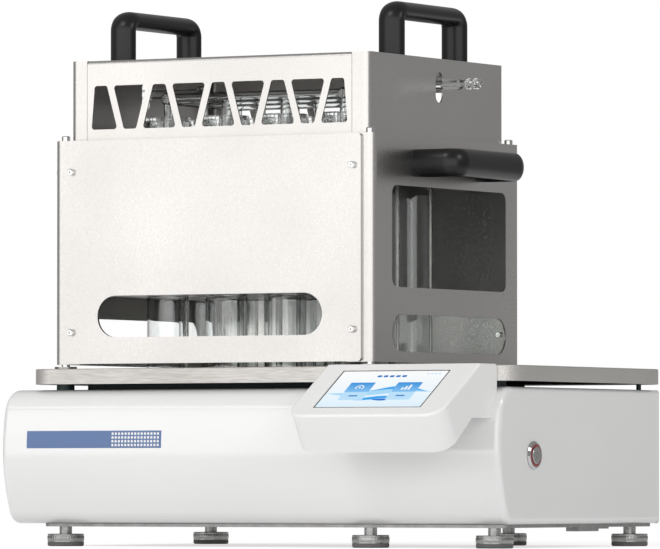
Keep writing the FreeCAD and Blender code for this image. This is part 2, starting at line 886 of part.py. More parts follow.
def heat_board():
    board = slab(rack_x - heat_board_left, rack_x + heat_board_right,
                 furnace_y - heat_board_half_depth, furnace_y + heat_board_half_depth,
                 base_top, liner_bottom, case_corner)
    return board.cut(furnace_cutter(base_top - cut_over, liner_bottom + cut_over, free_gap))


def rack_seats():
    rings = []
    for x, y in rack_corner_places():
        ring = cylinder(x, y, tray_top, tray_top + seat_height, seat_radius)
        bore = cylinder(x, y, tray_top - cut_over, tray_top + seat_height + cut_over, rod_radius + free_gap)
        rings.append(ring.cut(bore))
    return group(rings)


# Furnace

def graphite_block():
    block = slab(rack_x - block_half_x, rack_x + block_half_x,
                 furnace_y - block_half_y, furnace_y + block_half_y,
                 block_level, block_level + block_height, block_edge_round)
    wells = []
    for x, y in tube_places():
        wells.append(cylinder(x, y, block_level + block_floor,
                              block_level + block_height + cut_over, well_radius))
    wells.append(probe_cutter(rack_x + block_half_x - probe_insert, block_half_x))
    return block.cut(wells)


def probe_cutter(start_x, length):
    y = furnace_y + tube_pitch / 2
    return rod_along(V(start_x, y, block_level + probe_level), V(1, 0, 0), length, probe_radius + free_gap)


def heater_plate():
    top = block_level
    plate = slab(rack_x - block_half_x, rack_x + block_half_x,
                 furnace_y - block_half_y, furnace_y + block_half_y,
                 top - heater_height, top, block_edge_round)
    grooves = []
    for j in range(tube_rows):
        y = furnace_y + j * tube_pitch - tube_reach_y
        grooves.append(box(rack_x - block_half_x - cut_over, rack_x + block_half_x + cut_over,
                           y - heater_groove_width / 2, y + heater_groove_width / 2,
                           top - heater_height - cut_over, top - heater_height + heater_groove_depth))
    return plate.cut(grooves)


def insulation_jacket():
    bottom = case_bottom + case_sheet
    top = block_level + block_height
    outer = slab(rack_x - block_half_x - jacket_side, rack_x + block_half_x + jacket_side,
                 furnace_y - block_half_y - jacket_side, furnace_y + block_half_y + jacket_side,
                 bottom, top, case_corner)
    inner = box(rack_x - block_half_x - free_gap, rack_x + block_half_x + free_gap,
                furnace_y - block_half_y - free_gap, furnace_y + block_half_y + free_gap,
                block_level - heater_height, top + cut_over)
    probe_way = probe_cutter(rack_x + block_half_x - cut_over, jacket_side + 2 * cut_over)
    return outer.cut([inner, probe_way])


def furnace_case():
    outer = furnace_cutter(case_bottom, liner_bottom, 0)
    inner = slab(rack_x - case_half_x + case_sheet, rack_x + case_half_x - case_sheet,
                 furnace_y - case_half_y + case_sheet, furnace_y + case_half_y - case_sheet,
                 case_bottom + case_sheet, liner_bottom + cut_over, case_corner - case_sheet)
    probe_way = probe_cutter(rack_x + case_half_x - case_sheet - cut_over, case_sheet + 2 * cut_over)
    return outer.cut([inner, probe_way])


def furnace_legs():
    legs = []
    for sx in (-1, 1):
        for sy in (-1, 1):
            x = rack_x + sx * (case_half_x - leg_inset)
            y = furnace_y + sy * (case_half_y - leg_inset)
            legs.append(cylinder(x, y, base_bottom, case_bottom, leg_radius))
    return group(legs)


def temperature_probe():
    y = furnace_y + tube_pitch / 2
    z = block_level + probe_level
    start = rack_x + block_half_x - probe_insert + free_gap
    end = rack_x + case_half_x
    sheath = rod_along(V(start, y, z), V(1, 0, 0), end - start + probe_head_length, probe_radius)
    head = rod_along(V(end, y, z), V(1, 0, 0), probe_head_length, probe_head_radius)
    return fuse_all([sheath, head])


# Electronics bay

def partition_wall():
    bottom = base_bottom
    wall = box(partition_x, partition_x + panel_sheet, -partition_half_depth, partition_half_depth,
               bottom, bottom + partition_height)
    foot = box(partition_x, partition_x + partition_foot, -partition_half_depth, partition_half_depth,
               bottom, bottom + panel_sheet)
    return fuse_all([wall, foot])


def control_board():
    bottom = base_bottom
    level = bottom + board_post
    board = box(board_x, board_x + board_width, board_y, board_y + board_depth,
                level, level + board_thickness)
    parts = [board]
    for x in (board_x + board_post_inset, board_x + board_width - board_post_inset):
        for y in (board_y + board_post_inset, board_y + board_depth - board_post_inset):
            parts.append(cylinder(x, y, bottom, level, board_post_radius))
    top = level + board_thickness
    for i in range(3):
        x = board_x + board_width / 2 + (i - 1) * 2.5 * capacitor_radius
        y = board_y + board_depth - 3 * capacitor_radius
        parts.append(cylinder(x, y, top, top + capacitor_height, capacitor_radius))
    parts.append(box(board_x + board_width / 2 - terminal_width / 2,
                     board_x + board_width / 2 + terminal_width / 2,
                     board_y + terminal_depth, board_y + 2 * terminal_depth, top, top + terminal_height))
    parts.append(box(board_x + board_width / 2 - chip_size / 2, board_x + board_width / 2 + chip_size / 2,
                     board_y + board_depth / 2 - chip_size / 2, board_y + board_depth / 2 + chip_size / 2,
                     top, top + chip_height))
    return fuse_all(parts)


def power_supply():
    bottom = base_bottom
    supply = box(supply_x, supply_x + supply_width, supply_y, supply_y + supply_depth,
                 bottom, bottom + supply_height)
    count = int(supply_width / supply_slot_pitch) - 1
    slots = []
    for i in range(count):
        x = supply_x + supply_width / 2 + (i - (count - 1) / 2) * supply_slot_pitch
        slots.append(box(x - supply_slot_width / 2, x + supply_slot_width / 2,
                         supply_y + supply_depth / 4, supply_y + supply_depth * 3 / 4,
                         bottom + supply_height - supply_slot_width, bottom + supply_height + cut_over))
    return supply.cut(slots)


def relay_heat_sink():
    bottom = base_bottom
    top = bottom + sink_fin_height + sink_base
    plate = box(sink_x, sink_x + sink_width, sink_y, sink_y + sink_depth, top - sink_base, top)
    parts = [plate]
    for i in range(sink_fin_count):
        x = sink_x + (sink_width - sink_fin_width) * i / (sink_fin_count - 1)
        parts.append(box(x, x + sink_fin_width, sink_y, sink_y + sink_depth, bottom, top - sink_base))
    return fuse_all(parts)


def solid_state_relay():
    bottom = base_bottom + sink_fin_height + sink_base
    x = sink_x + sink_width / 2
    y = sink_y + sink_depth / 2
    body = box(x - relay_width / 2, x + relay_width / 2, y - relay_depth / 2, y + relay_depth / 2,
               bottom, bottom + relay_height)
    cuts = []
    for sx in (-1, 1):
        for sy in (-1, 1):
            cx = x + sx * relay_width / 2
            cy = y + sy * relay_depth / 4
            cuts.append(box(cx - relay_slot, cx + relay_slot, cy - relay_slot / 2, cy + relay_slot / 2,
                            bottom + relay_height / 2, bottom + relay_height + cut_over))
    return body.cut(cuts)


# Display housing: a tilted slab that grows out of the bulged front

def display_point(distance, depth):
    """A point (y, z) of the display's profile: distance down its sloping face, depth below the face."""
    tilt = math.radians(display_tilt)
    y = -(display_back_y + display_shoulder) - distance * math.cos(tilt) + depth * math.sin(tilt)
    z = display_top - distance * math.sin(tilt) - depth * math.cos(tilt)
    return y, z


def drawn_in(outline, inset):
    """A closed outline of (y, z) points, anticlockwise from the right, with every side moved in by inset."""
    count = len(outline)
    corners = []
    for i in range(count):
        here = V(0, outline[i][0], outline[i][1])
        back = V(0, outline[i - 1][0], outline[i - 1][1])
        on = V(0, outline[(i + 1) % count][0], outline[(i + 1) % count][1])
        arriving = (here - back).normalize()
        leaving = (on - here).normalize()
        first = V(0, -arriving.z, arriving.y)
        second = V(0, -leaving.z, leaving.y)
        corners.append(here + (first + second) * (inset / (1 + first.dot(second))))
    return corners


def display_body(inset):
    """The display housing's closed body, drawn in by inset on every side."""
    shoulder_y = -(display_back_y + display_shoulder)
    profile = [
        (-display_back_y, display_top),
        (shoulder_y, display_top),
        display_point(display_slope_length, 0),
        display_point(display_slope_length, display_thickness),
        (shoulder_y - display_heel_reach, display_heel_level),
        (-display_back_y, display_heel_level),
    ]
    points = [corner + V(display_left_x + inset, 0, 0) for corner in drawn_in(profile, inset)]
    body = outline_solid(points, [0] * len(points), V(display_width - 2 * inset, 0, 0))
    lip_y = points[3].y
    lip_edges = [e for e in body.Edges
                 if e.BoundBox.XLength < free_gap and e.BoundBox.YMax < lip_y + free_gap]
    return body.makeFillet(display_corner - inset, lip_edges)


def face_block(width, height, sink, depth):
    """A block square to the sloping face, from sink below it to depth below it, centred on the screen."""
    x = display_left_x + display_width / 2 + screen_shift
    middle_y, middle_z = display_point(screen_top_margin + screen_height / 2, sink)
    block = Part.makeBox(width, height, depth - sink, V(-width / 2, -height / 2, sink - depth))
    block.rotate(V(0, 0, 0), V(1, 0, 0), display_tilt)
    block.translate(V(x, middle_y, middle_z))
    return block


def display_housing():
    outer = display_body(0)
    soft = []
    for e in outer.Edges:
        on_side = e.BoundBox.XLength < display_width / 2
        on_top = e.BoundBox.ZMax > display_toe_level
        at_back = e.BoundBox.YMin > -display_back_y - free_gap
        knee = e.BoundBox.XLength > display_width / 2 and e.BoundBox.ZMin > display_top - free_gap
        upright = on_side and e.BoundBox.XLength < free_gap and e.BoundBox.ZMin < display_toe_level - free_gap
        if on_top and not at_back and not knee and not upright:
            soft.append(e)
    outer = outer.makeFillet(display_edge_round, soft)
    hollow = display_body(display_wall)
    hollow = hollow.cut(housing_body(-display_wall, cover_inner_y))
    seat = face_block(screen_width + free_gap, screen_height + free_gap,
                      -cut_over, screen_glass + screen_recess)
    window = face_block(screen_width - 2 * screen_ledge, screen_height - 2 * screen_ledge, 0,
                        display_wall + cut_over)
    return outer.cut([housing_body(0, cover_inner_y), hollow, seat, window])


def touch_screen():
    """Cover glass in its seat and the display module behind it."""
    glass = face_block(screen_width, screen_height, screen_recess, screen_glass + screen_recess)
    module = face_block(screen_width - 2 * screen_ledge - free_gap,
                        screen_height - 2 * screen_ledge - free_gap,
                        screen_recess, screen_module_depth)
    return fuse_all([glass, module])


# Power button

def button_bezel():
    """Bezel, barrel and the switch's floor, in which the cap's guide pin runs."""
    lower_bore = bezel_bore_radius - light_ring_width + free_gap
    floor = -bezel_barrel_length
    pin_bore = cap_pin_radius + running_gap
    points = [
        (pin_bore, floor),
        (bezel_barrel_radius, floor),
        (bezel_barrel_radius, 0),
        (bezel_radius, 0),
        (bezel_radius, bezel_height - bezel_edge),
        (bezel_radius - bezel_edge, bezel_height),
        (bezel_bore_radius, bezel_height),
        (bezel_bore_radius, -light_ring_depth),
        (lower_bore, -light_ring_depth),
        (lower_bore, floor + bezel_floor),
        (pin_bore, floor + bezel_floor),
    ]
    return turned(points, V(base_half_width, button_y, button_z), V(1, 0, 0))


def button_light_ring():
    outer = bezel_bore_radius - running_gap / 2
    inner = outer - light_ring_width
    points = [
        (inner, -light_ring_depth),
        (outer, -light_ring_depth),
        (outer, bezel_height),
        (inner, bezel_height),
    ]
    return turned(points, V(base_half_width, button_y, button_z), V(1, 0, 0))


def button_cap():
    radius = bezel_bore_radius - light_ring_width - 2 * running_gap
    top = bezel_height + cap_height
    bottom = top - cap_depth
    pin_bottom = bezel_floor - bezel_barrel_length - cap_pin_below
    points = [
        (0, pin_bottom),
        (cap_pin_radius, pin_bottom),
        (cap_pin_radius, bottom),
        (radius, bottom),
        (radius, top - cap_edge),
        (radius - cap_edge, top),
        (0, top),
    ]
    return turned(points, V(base_half_width, button_y, button_z), V(1, 0, 0))


# Rack: two folded sides, two plates, four rods and two tube plates

def folded_side(half_x, half_y, z0, z1, flange, hand):
    """An upright sheet with both edges folded inwards over a round bend."""
    outer = slab(rack_x - half_x, rack_x + half_x, rack_y - half_y, rack_y + half_y, z0, z1, corner_bend)
    inner = slab(rack_x - half_x + panel_sheet, rack_x + half_x - panel_sheet,
                 rack_y - half_y + panel_sheet, rack_y + half_y - panel_sheet,
                 z0 - cut_over, z1 + cut_over, corner_bend - panel_sheet)
    ring = outer.cut(inner)
    edge = rack_x + hand * (half_x - flange)
    far = rack_x + hand * (half_x + cut_over)
    keep = box(min(edge, far), max(edge, far), rack_y - half_y - cut_over, rack_y + half_y + cut_over,
               z0 - cut_over, z1 + cut_over)
    return ring.common(keep)


def rack_side(hand):
    side = folded_side(rack_half_x, rack_half_y, rack_bottom, rack_top, rack_flange, hand)
    x = rack_x + hand * (rack_half_x - panel_sheet / 2)
    through = V(panel_sheet + 2 * cut_over, 0, 0)
    across = V(0, 1, 0)
    up = V(0, 0, 1)
    y = rack_y + window_shift
    window_z = rack_bottom + window_rise
    slot_z = rack_bottom + side_slot_rise
    holes = [
        rounded_hole(V(x, y, window_z), across, up, window_length, window_height, window_corner, through),
        obround(V(x, y, slot_z), across, up, window_length, side_slot_height, through),
    ]
    for face in (-1, 1):
        for z in (rack_bottom + screw_low_rise, rack_bottom + screw_high_rise):
            start = V(rack_x + hand * screw_x, rack_y + face * (rack_half_y + cut_over), z)
            holes.append(rod_along(start, V(0, -face, 0), panel_sheet + 2 * cut_over,
                                   screw_shank_radius + free_gap))
    return side.cut(holes)


def rack_plate(face, slotted):
    """A plate screwed on the folded edges, in front (-1) or behind (+1)."""
    y = rack_y + face * (rack_half_y + front_plate_thickness / 2)
    across = V(1, 0, 0)
    up = V(0, 0, 1)
    middle = V(rack_x, y, (rack_bottom + rack_top) / 2)
    plate = rounded_hole(middle, across, up, front_plate_width, rack_height - 2 * front_plate_inset,
                         front_plate_corner, V(0, front_plate_thickness, 0))
    through = V(0, front_plate_thickness + 2 * cut_over, 0)
    holes = []
    if slotted:
        holes.append(obround(V(rack_x + front_slot_shift, y, rack_bottom + front_slot_rise), across, up,
                             front_slot_length, front_slot_height, through))
    for hand in (-1, 1):
        for z in (rack_bottom + screw_low_rise, rack_bottom + screw_high_rise):
            start = V(rack_x + hand * screw_x, y - through.y / 2, z)
            holes.append(rod_along(start, V(0, 1, 0), through.y, screw_shank_radius + free_gap))
    return plate.cut(holes)


def rack_screws():
    bevel = screw_head_height / 4
    points = [
        (0, 0),
        (screw_head_radius, 0),
        (screw_head_radius, screw_head_height - bevel),
        (screw_head_radius - bevel, screw_head_height),
        (0, screw_head_height),
    ]
    screws = []
    for face in (-1, 1):
        outward = V(0, face, 0)
        for hand in (-1, 1):
            for z in (rack_bottom + screw_low_rise, rack_bottom + screw_high_rise):
                seat = V(rack_x + hand * screw_x, rack_y + face * (rack_half_y + front_plate_thickness), z)
                head = turned(points, seat, outward)
                shank = rod_along(seat, outward * -1, screw_shank_length, screw_shank_radius)
                corners = []
                for k in range(6):
                    angle = math.radians(60 * k)
                    corners.append(seat + outward * (screw_head_height - screw_socket_depth)
                                   + V(screw_socket_width / 2 * math.cos(angle), 0,
                                       screw_socket_width / 2 * math.sin(angle)))
                socket = outline_solid(corners, [0] * len(corners),
                                       outward * (screw_socket_depth + cut_over))
                screws.append(fuse_all([head, shank]).cut(socket))
    return group(screws)


def corner_rods():
    """Four posts that carry the rack: each has a shoulder under the tube plate and stands on the tray."""
    top = rack_top + rod_above
    shoulder = tube_plate_top - tube_plate_sheet
    points = [
        (0, tray_top),
        (rod_radius - rod_chamfer, tray_top),
        (rod_radius, tray_top + rod_chamfer),
        (rod_radius, shoulder - rod_shoulder_height),
        (rod_shoulder_radius, shoulder - rod_shoulder_height),
        (rod_shoulder_radius, shoulder),
        (rod_radius, shoulder),
        (rod_radius, top - rod_chamfer),
        (rod_radius - rod_chamfer, top),
        (0, top),
    ]
    return group([turned(points, V(x, y, 0)) for x, y in rack_corner_places()])


def rack_interior(half_y, z0, z1):
    """A plate that reaches the inner faces of the rack's side panels."""
    half_x = rack_half_x - panel_sheet
    return box(rack_x - half_x, rack_x + half_x, rack_y - half_y, rack_y + half_y, z0, z1)


def tube_holes(z0, z1):
    return [cylinder(x, y, z0 - cut_over, z1 + cut_over, well_radius) for x, y in tube_places()]


def tube_plate():
    """Upper plate: it carries the tubes by their beads, and its raised edge locates the hood."""
    z1 = tube_plate_top
    z0 = z1 - tube_plate_sheet
    half_x = tube_plate_flange_half_x
    half_y = tube_plate_flange_half_y
    plate = rack_interior(rack_half_y - panel_sheet, z0, z1)
    plate = plate.makeFillet(corner_bend - panel_sheet,
                             [e for e in plate.Edges if e.BoundBox.ZLength > tube_plate_sheet / 2])
    outer = slab(rack_x - half_x, rack_x + half_x, rack_y - half_y, rack_y + half_y,
                 z0, z1 + tube_plate_flange_height, corner_bend)
    inner = slab(rack_x - half_x + panel_sheet, rack_x + half_x - panel_sheet,
                 rack_y - half_y + panel_sheet, rack_y + half_y - panel_sheet,
                 z0 - cut_over, z1 + tube_plate_flange_height + cut_over, corner_bend - panel_sheet)
    holes = tube_holes(z0, z1)
    for x, y in rack_corner_places():
        holes.append(cylinder(x, y, z0 - cut_over, z1 + cut_over, rod_radius + running_gap))
    return fuse_all([plate, outer.cut(inner)]).cut(holes)


def lower_tube_plate():
    """Guide plate between the side panels, with a flange turned down along each of them."""
    z0 = rack_bottom + lower_plate_rise
    z1 = z0 + lower_plate_sheet
    half_x = rack_half_x - panel_sheet
    whole = rack_interior(rack_half_y - lower_plate_end_gap, z0 - lower_plate_flange, z1)
    below = box(rack_x - half_x + lower_plate_sheet, rack_x + half_x - lower_plate_sheet,
                rack_y - rack_half_y, rack_y + rack_half_y, z0 - lower_plate_flange - cut_over, z0)
    return whole.cut([below] + tube_holes(z0, z1))


def digestion_tube(x, y):
    """Straight glass tube with a rounded foot, a bead that hangs on the tube plate and a rolled rim."""
    outer = cylinder(x, y, tube_bottom, tube_top, tube_radius)
    foot = [e for e in outer.Edges if e.BoundBox.ZMax < tube_bottom + free_gap]
    outer = outer.makeFillet(tube_bottom_round, foot)
    bead = cylinder(x, y, tube_plate_top, tube_plate_top + tube_bead_height, tube_bead_radius)
    rim = cylinder(x, y, tube_top - tube_rim_height, tube_top, tube_rim_radius)
    inner = cylinder(x, y, tube_bottom + tube_wall, tube_top + cut_over, tube_radius - tube_wall)
    foot = [e for e in inner.Edges if e.BoundBox.ZMax < tube_bottom + tube_wall + free_gap]
    inner = inner.makeFillet(tube_bottom_round - tube_wall, foot)
    return fuse_all([outer, bead, rim]).cut(inner)


def digestion_tubes():
    return group([digestion_tube(x, y) for x, y in tube_places()])


# Handles: an oval bar bent into a bow

def handle_bow():
    """Bow standing on the XY plane, grip along Y, the wide side of its section along X."""
    half = handle_pitch / 2
    leg = handle_height - handle_thick / 2 - handle_bend_radius
    grip = handle_pitch - 2 * handle_bend_radius
    oval = Part.Ellipse(V(0, 0, 0), handle_wide / 2, handle_thick / 2).toShape()
    section = Part.Face(Part.Wire([oval]))
    leg_bar = section.extrude(V(0, 0, leg))
    bend_face = section.copy()
    bend_face.translate(V(0, 0, leg))
    bend = bend_face.revolve(V(0, handle_bend_radius, leg), V(-1, 0, 0), 90)
    near = fuse_all([leg_bar, bend])
    near.translate(V(0, -half, 0))
    grip_face = section.copy()
    grip_face.rotate(V(0, 0, 0), V(1, 0, 0), 90)
    grip_face.translate(V(0, -grip / 2, leg + handle_bend_radius))
    bar = grip_face.extrude(V(0, grip, 0))
    far = near.mirror(V(0, 0, 0), V(0, 1, 0))
    return fuse_all([near, bar, far])


def top_handle(hand):
    bow = handle_bow()
    bow.translate(V(rack_x + hand * (hood_half_x - handle_inset), rack_y, hood_top))
    return bow


def side_handle(hand):
    bow = handle_bow()
    bow.rotate(V(0, 0, 0), V(0, 1, 0), hand * 90)
    bow.translate(V(rack_x + hand * rack_half_x, rack_y, rack_top - side_handle_drop))
    return bow


# Hood

def hood_window(centre_x_place, wide_on_top):
    """One upright or inverted window between slanted bars, cut short at the ends of the row."""
    low = rack_top + hood_window_rise
    high = low + hood_window_height
    top_half = (hood_window_wide if wide_on_top else hood_window_narrow) / 2
    bottom_half = (hood_window_narrow if wide_on_top else hood_window_wide) / 2
    limit = hood_window_end_x
    y = rack_y - hood_half_y - cut_over
    points = []
    rounds = []
    for dx, z in ((-bottom_half, low), (bottom_half, low), (top_half, high), (-top_half, high)):
        x = max(-limit, min(limit, centre_x_place + dx))
        points.append(V(rack_x + x, y, z))
        rounds.append(hood_window_corner)
    return outline_solid(points, rounds, V(0, 2 * (hood_half_y + cut_over), 0))


def hood_wrap():
    """Front, roof and back in one bent sheet."""
    half_y = hood_half_y
    bottom = tube_plate_top
    sheet = box(rack_x - hood_seam_x, rack_x + hood_seam_x,
                rack_y - half_y, rack_y + half_y, bottom, hood_top)
    folds = [e for e in sheet.Edges
             if e.BoundBox.ZMin > hood_top - free_gap and e.BoundBox.XLength > hood_seam_x]
    sheet = sheet.makeFillet(hood_fold_round, folds)
    roof = slab(rack_x - hood_half_x, rack_x + hood_half_x, rack_y - half_y, rack_y + half_y,
                hood_top - panel_sheet, hood_top, corner_bend)
    middle = box(rack_x - hood_seam_x, rack_x + hood_seam_x, rack_y - half_y - cut_over,
                 rack_y + half_y + cut_over, hood_top - panel_sheet - cut_over, hood_top + cut_over)
    ends = roof.cut(middle)
    inner = box(rack_x - hood_seam_x - cut_over, rack_x + hood_seam_x + cut_over,
                rack_y - half_y + panel_sheet, rack_y + half_y - panel_sheet,
                bottom - cut_over, hood_top - panel_sheet)
    folds = [e for e in inner.Edges if e.BoundBox.ZMin > hood_top - panel_sheet - free_gap
             and e.BoundBox.XLength > hood_seam_x]
    inner = inner.makeFillet(hood_fold_round - panel_sheet, folds)
    wrap = fuse_all([sheet.cut(inner), ends])
    windows = []
    for i in range(hood_window_count):
        x = (i - (hood_window_count - 1) / 2) * tube_pitch / 2
        windows.append(hood_window(x, i % 2 == 1))
    return wrap.cut(windows)


def hood_side(hand):
    flange = hood_half_x - hood_seam_x - hood_seam_gap
    side = folded_side(hood_half_x, hood_half_y, tube_plate_top, hood_top - panel_sheet, flange, hand)
    x = rack_x + hand * (hood_half_x - panel_sheet / 2)
    slot = obround(V(x, furnace_y, rack_top + hood_slot_rise + hood_slot_height / 2), V(0, 1, 0), V(0, 0, 1),
                   hood_slot_width, hood_slot_height, V(panel_sheet + 2 * cut_over, 0, 0))
    return side.cut(slot)


# Glass manifold and its tube caps

def tube_caps():
    caps = []
    bottom = tube_top + cap_lid_gap
    points = [
        (cap_bore_radius, bottom - cap_spigot_depth),
        (cap_spigot_radius, bottom - cap_spigot_depth),
        (cap_spigot_radius, bottom),
        (cap_disc_radius, bottom),
        (cap_disc_radius, bottom + cap_disc_height),
        (cap_bore_radius, bottom + cap_disc_height),
    ]
    for x, y in tube_places():
        caps.append(turned(points, V(x, y, 0)))
    return group(caps)


def blind_rod(start, axis, length, radius, rounding):
    """A round bar whose two ends are softened, as drawn glass is."""
    bar = rod_along(start, axis, length, radius)
    if rounding > 0:
        bar = bar.makeFillet(rounding, [e for e in bar.Edges if len(e.Vertexes) == 1])
    return bar


def manifold_pieces(wall):
    """The manifold's tubes as plain rods: its outer skin, or with a wall its bore."""
    level = tube_top + cap_lid_gap + header_rise
    reach_x = tube_reach_x
    reach_y = tube_reach_y + cross_radius - wall
    lengthen = cut_over if wall > 0 else 0
    rounding = 0 if wall > 0 else cross_end_round
    bottom = tube_top + cap_lid_gap - cap_spigot_depth
    pieces = []
    for x, y in tube_places():
        pieces.append(cylinder(x, y, bottom - lengthen, level, stem_radius - wall))
    for j in range(tube_rows):
        y = furnace_y + j * tube_pitch - tube_reach_y
        pieces.append(rod_along(V(rack_x - reach_x, y, level), V(1, 0, 0),
                                2 * reach_x, header_radius - wall))
    for x in (rack_x - reach_x, rack_x + reach_x):
        pieces.append(blind_rod(V(x, furnace_y - reach_y, level), V(0, 1, 0),
                                2 * reach_y, cross_radius - wall,
                                rounding))
        riser = outlet_level - level + riser_radius - wall
        pieces.append(blind_rod(V(x, furnace_y, level), V(0, 0, 1), riser, riser_radius - wall, rounding))
    return pieces


def outlet(hand):
    """Outlet tube through the hood's side slot, ending in a hose barb of soft rings."""
    end = hood_half_x + outlet_reach
    ring = barb_length / barb_count
    neck = end - barb_length
    points = [
        (0, tube_reach_x),
        (outlet_radius, tube_reach_x),
        (outlet_radius, neck - ring),
        (barb_neck_radius, neck - ring / 2),
    ]
    for i in range(barb_count):
        start = neck + ring * i
        points.append((barb_neck_radius, start))
        points.append((barb_radius, start + ring / 4))
        points.append((barb_radius, start + ring / 2))
    points.append((barb_neck_radius, end))
    points.append((0, end))
    return turned(points, V(rack_x, furnace_y, outlet_level), V(hand, 0, 0))


def glass_manifold():
    skin = fuse_all(manifold_pieces(0) + [outlet(-1), outlet(1)])
    length = hood_half_x + outlet_reach + cut_over - tube_reach_x
    bores = manifold_pieces(stem_wall)
    for hand in (-1, 1):
        bores.append(rod_along(V(rack_x + hand * tube_reach_x, furnace_y, outlet_level),
                               V(hand, 0, 0), length,
                               outlet_radius - outlet_wall))
    return skin.cut(fuse_all(bores))


def build_nodes():
    """Every node of the object by name."""
    nodes = {}
    nodes["base_housing"] = base_housing()
    nodes["bottom_plate"] = bottom_plate()
    nodes["rear_cover"] = rear_cover()
    nodes["cover_screws"] = cover_screws()
    nodes["power_inlet"] = power_inlet()
    nodes["fuse_holder"] = fuse_holder()
    nodes["fan_frame"] = fan_frame()
    nodes["fan_rotor"] = fan_rotor()
    nodes["foot_bushes"] = foot_bushes()
    post = foot_post()
    pad = foot_pad()
    for number, (x, y) in enumerate(foot_places(), 1):
        nodes["foot_%d_post" % number] = post.translated(V(x, y, 0))
        nodes["foot_%d_pad" % number] = pad.translated(V(x, y, 0))
    nodes["heat_tray"] = heat_tray()
    nodes["tray_liner"] = tray_liner()
    nodes["tray_spacers"] = tray_spacers()
    nodes["heat_board"] = heat_board()
    nodes["rack_seats"] = rack_seats()
    nodes["graphite_block"] = graphite_block()
    nodes["heater_plate"] = heater_plate()
    nodes["insulation_jacket"] = insulation_jacket()
    nodes["furnace_case"] = furnace_case()
    nodes["furnace_legs"] = furnace_legs()
    nodes["temperature_probe"] = temperature_probe()
    nodes["partition_wall"] = partition_wall()
    nodes["control_board"] = control_board()
    nodes["power_supply"] = power_supply()
    nodes["relay_heat_sink"] = relay_heat_sink()
    nodes["solid_state_relay"] = solid_state_relay()
    nodes["display_housing"] = display_housing()
    nodes["touch_screen"] = touch_screen()
    nodes["button_bezel"] = button_bezel()
    nodes["button_light_ring"] = button_light_ring()
    nodes["button_cap"] = button_cap()
    nodes["rack_left_side"] = rack_side(-1)
    nodes["rack_right_side"] = rack_side(1)
    nodes["rack_front_plate"] = rack_plate(-1, True)
    nodes["rack_back_plate"] = rack_plate(1, False)
    nodes["rack_screws"] = rack_screws()
    nodes["corner_rods"] = corner_rods()
    nodes["tube_plate"] = tube_plate()
    nodes["lower_tube_plate"] = lower_tube_plate()
    nodes["digestion_tubes"] = digestion_tubes()
    nodes["side_handle_left"] = side_handle(-1)
    nodes["side_handle_right"] = side_handle(1)
    nodes["hood_wrap"] = hood_wrap()
    nodes["hood_left_side"] = hood_side(-1)
    nodes["hood_right_side"] = hood_side(1)
    nodes["top_handle_left"] = top_handle(-1)
    nodes["top_handle_right"] = top_handle(1)
    nodes["tube_caps"] = tube_caps()
    nodes["glass_manifold"] = glass_manifold()
    return nodes


os.makedirs("parts", exist_ok=True)
for name, shape in build_nodes().items():
    placed = shape.translated(V(-centre_x, -centre_y, 0))
    placed.exportStep("parts/" + name + ".step")
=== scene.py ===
import bpy
import json
import math
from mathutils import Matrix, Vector


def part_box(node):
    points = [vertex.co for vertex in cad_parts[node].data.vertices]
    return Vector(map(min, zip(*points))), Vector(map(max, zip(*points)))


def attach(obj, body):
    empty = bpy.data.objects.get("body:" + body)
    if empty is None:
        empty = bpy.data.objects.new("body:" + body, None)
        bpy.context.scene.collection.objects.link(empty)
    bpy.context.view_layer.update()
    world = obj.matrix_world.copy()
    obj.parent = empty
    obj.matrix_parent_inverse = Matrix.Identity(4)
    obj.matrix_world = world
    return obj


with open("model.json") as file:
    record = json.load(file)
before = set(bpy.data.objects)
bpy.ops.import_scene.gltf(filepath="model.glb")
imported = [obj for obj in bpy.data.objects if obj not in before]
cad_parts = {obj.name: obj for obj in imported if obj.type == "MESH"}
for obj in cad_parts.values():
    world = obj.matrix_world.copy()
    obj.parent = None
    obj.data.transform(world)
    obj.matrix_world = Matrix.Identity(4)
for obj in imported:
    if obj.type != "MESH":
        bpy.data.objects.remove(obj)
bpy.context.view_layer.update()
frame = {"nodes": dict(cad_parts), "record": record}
nodes = frame["nodes"]

MM = 0.001
BASE_HALF_DEPTH = 162.9
# Shift from the part's own drawing centre (the middle of the base) to the row's origin, in mm
housing_low, housing_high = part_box("base_housing")
SHIFT_X = (housing_low.x + housing_high.x) / 2 / MM
SHIFT_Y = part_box("rear_cover")[1].y / MM - BASE_HALF_DEPTH


def at(x, y, z):
    """A point given in mm from the middle of the base, in metres in the row's frame."""
    return Vector(((x + SHIFT_X) * MM, (y + SHIFT_Y) * MM, z * MM))


# Materials

def socket(node, name, value):
    node.inputs[name].default_value = value


def new_material(name, colour, roughness, metallic=0.0, specular=0.5):
    material = bpy.data.materials.new(name)
    material.use_nodes = True
    shader = material.node_tree.nodes["Principled BSDF"]
    socket(shader, "Base Color", (*colour, 1.0))
    socket(shader, "Roughness", roughness)
    socket(shader, "Metallic", metallic)
    socket(shader, "Specular IOR Level", specular)
    return material, shader


def object_place(tree, scale):
    """Object coordinates stretched by scale."""
    coordinates = tree.nodes.new("ShaderNodeTexCoord")
    mapping = tree.nodes.new("ShaderNodeMapping")
    mapping.inputs["Scale"].default_value = scale
    tree.links.new(coordinates.outputs["Object"], mapping.inputs["Vector"])
    return mapping.outputs["Vector"]


def noise_texture(tree, vector, scale, detail, roughness=0.5):
    texture = tree.nodes.new("ShaderNodeTexNoise")
    socket(texture, "Scale", scale)
    socket(texture, "Detail", detail)
    socket(texture, "Roughness", roughness)
    tree.links.new(vector, texture.inputs["Vector"])
    return texture.outputs["Fac"]


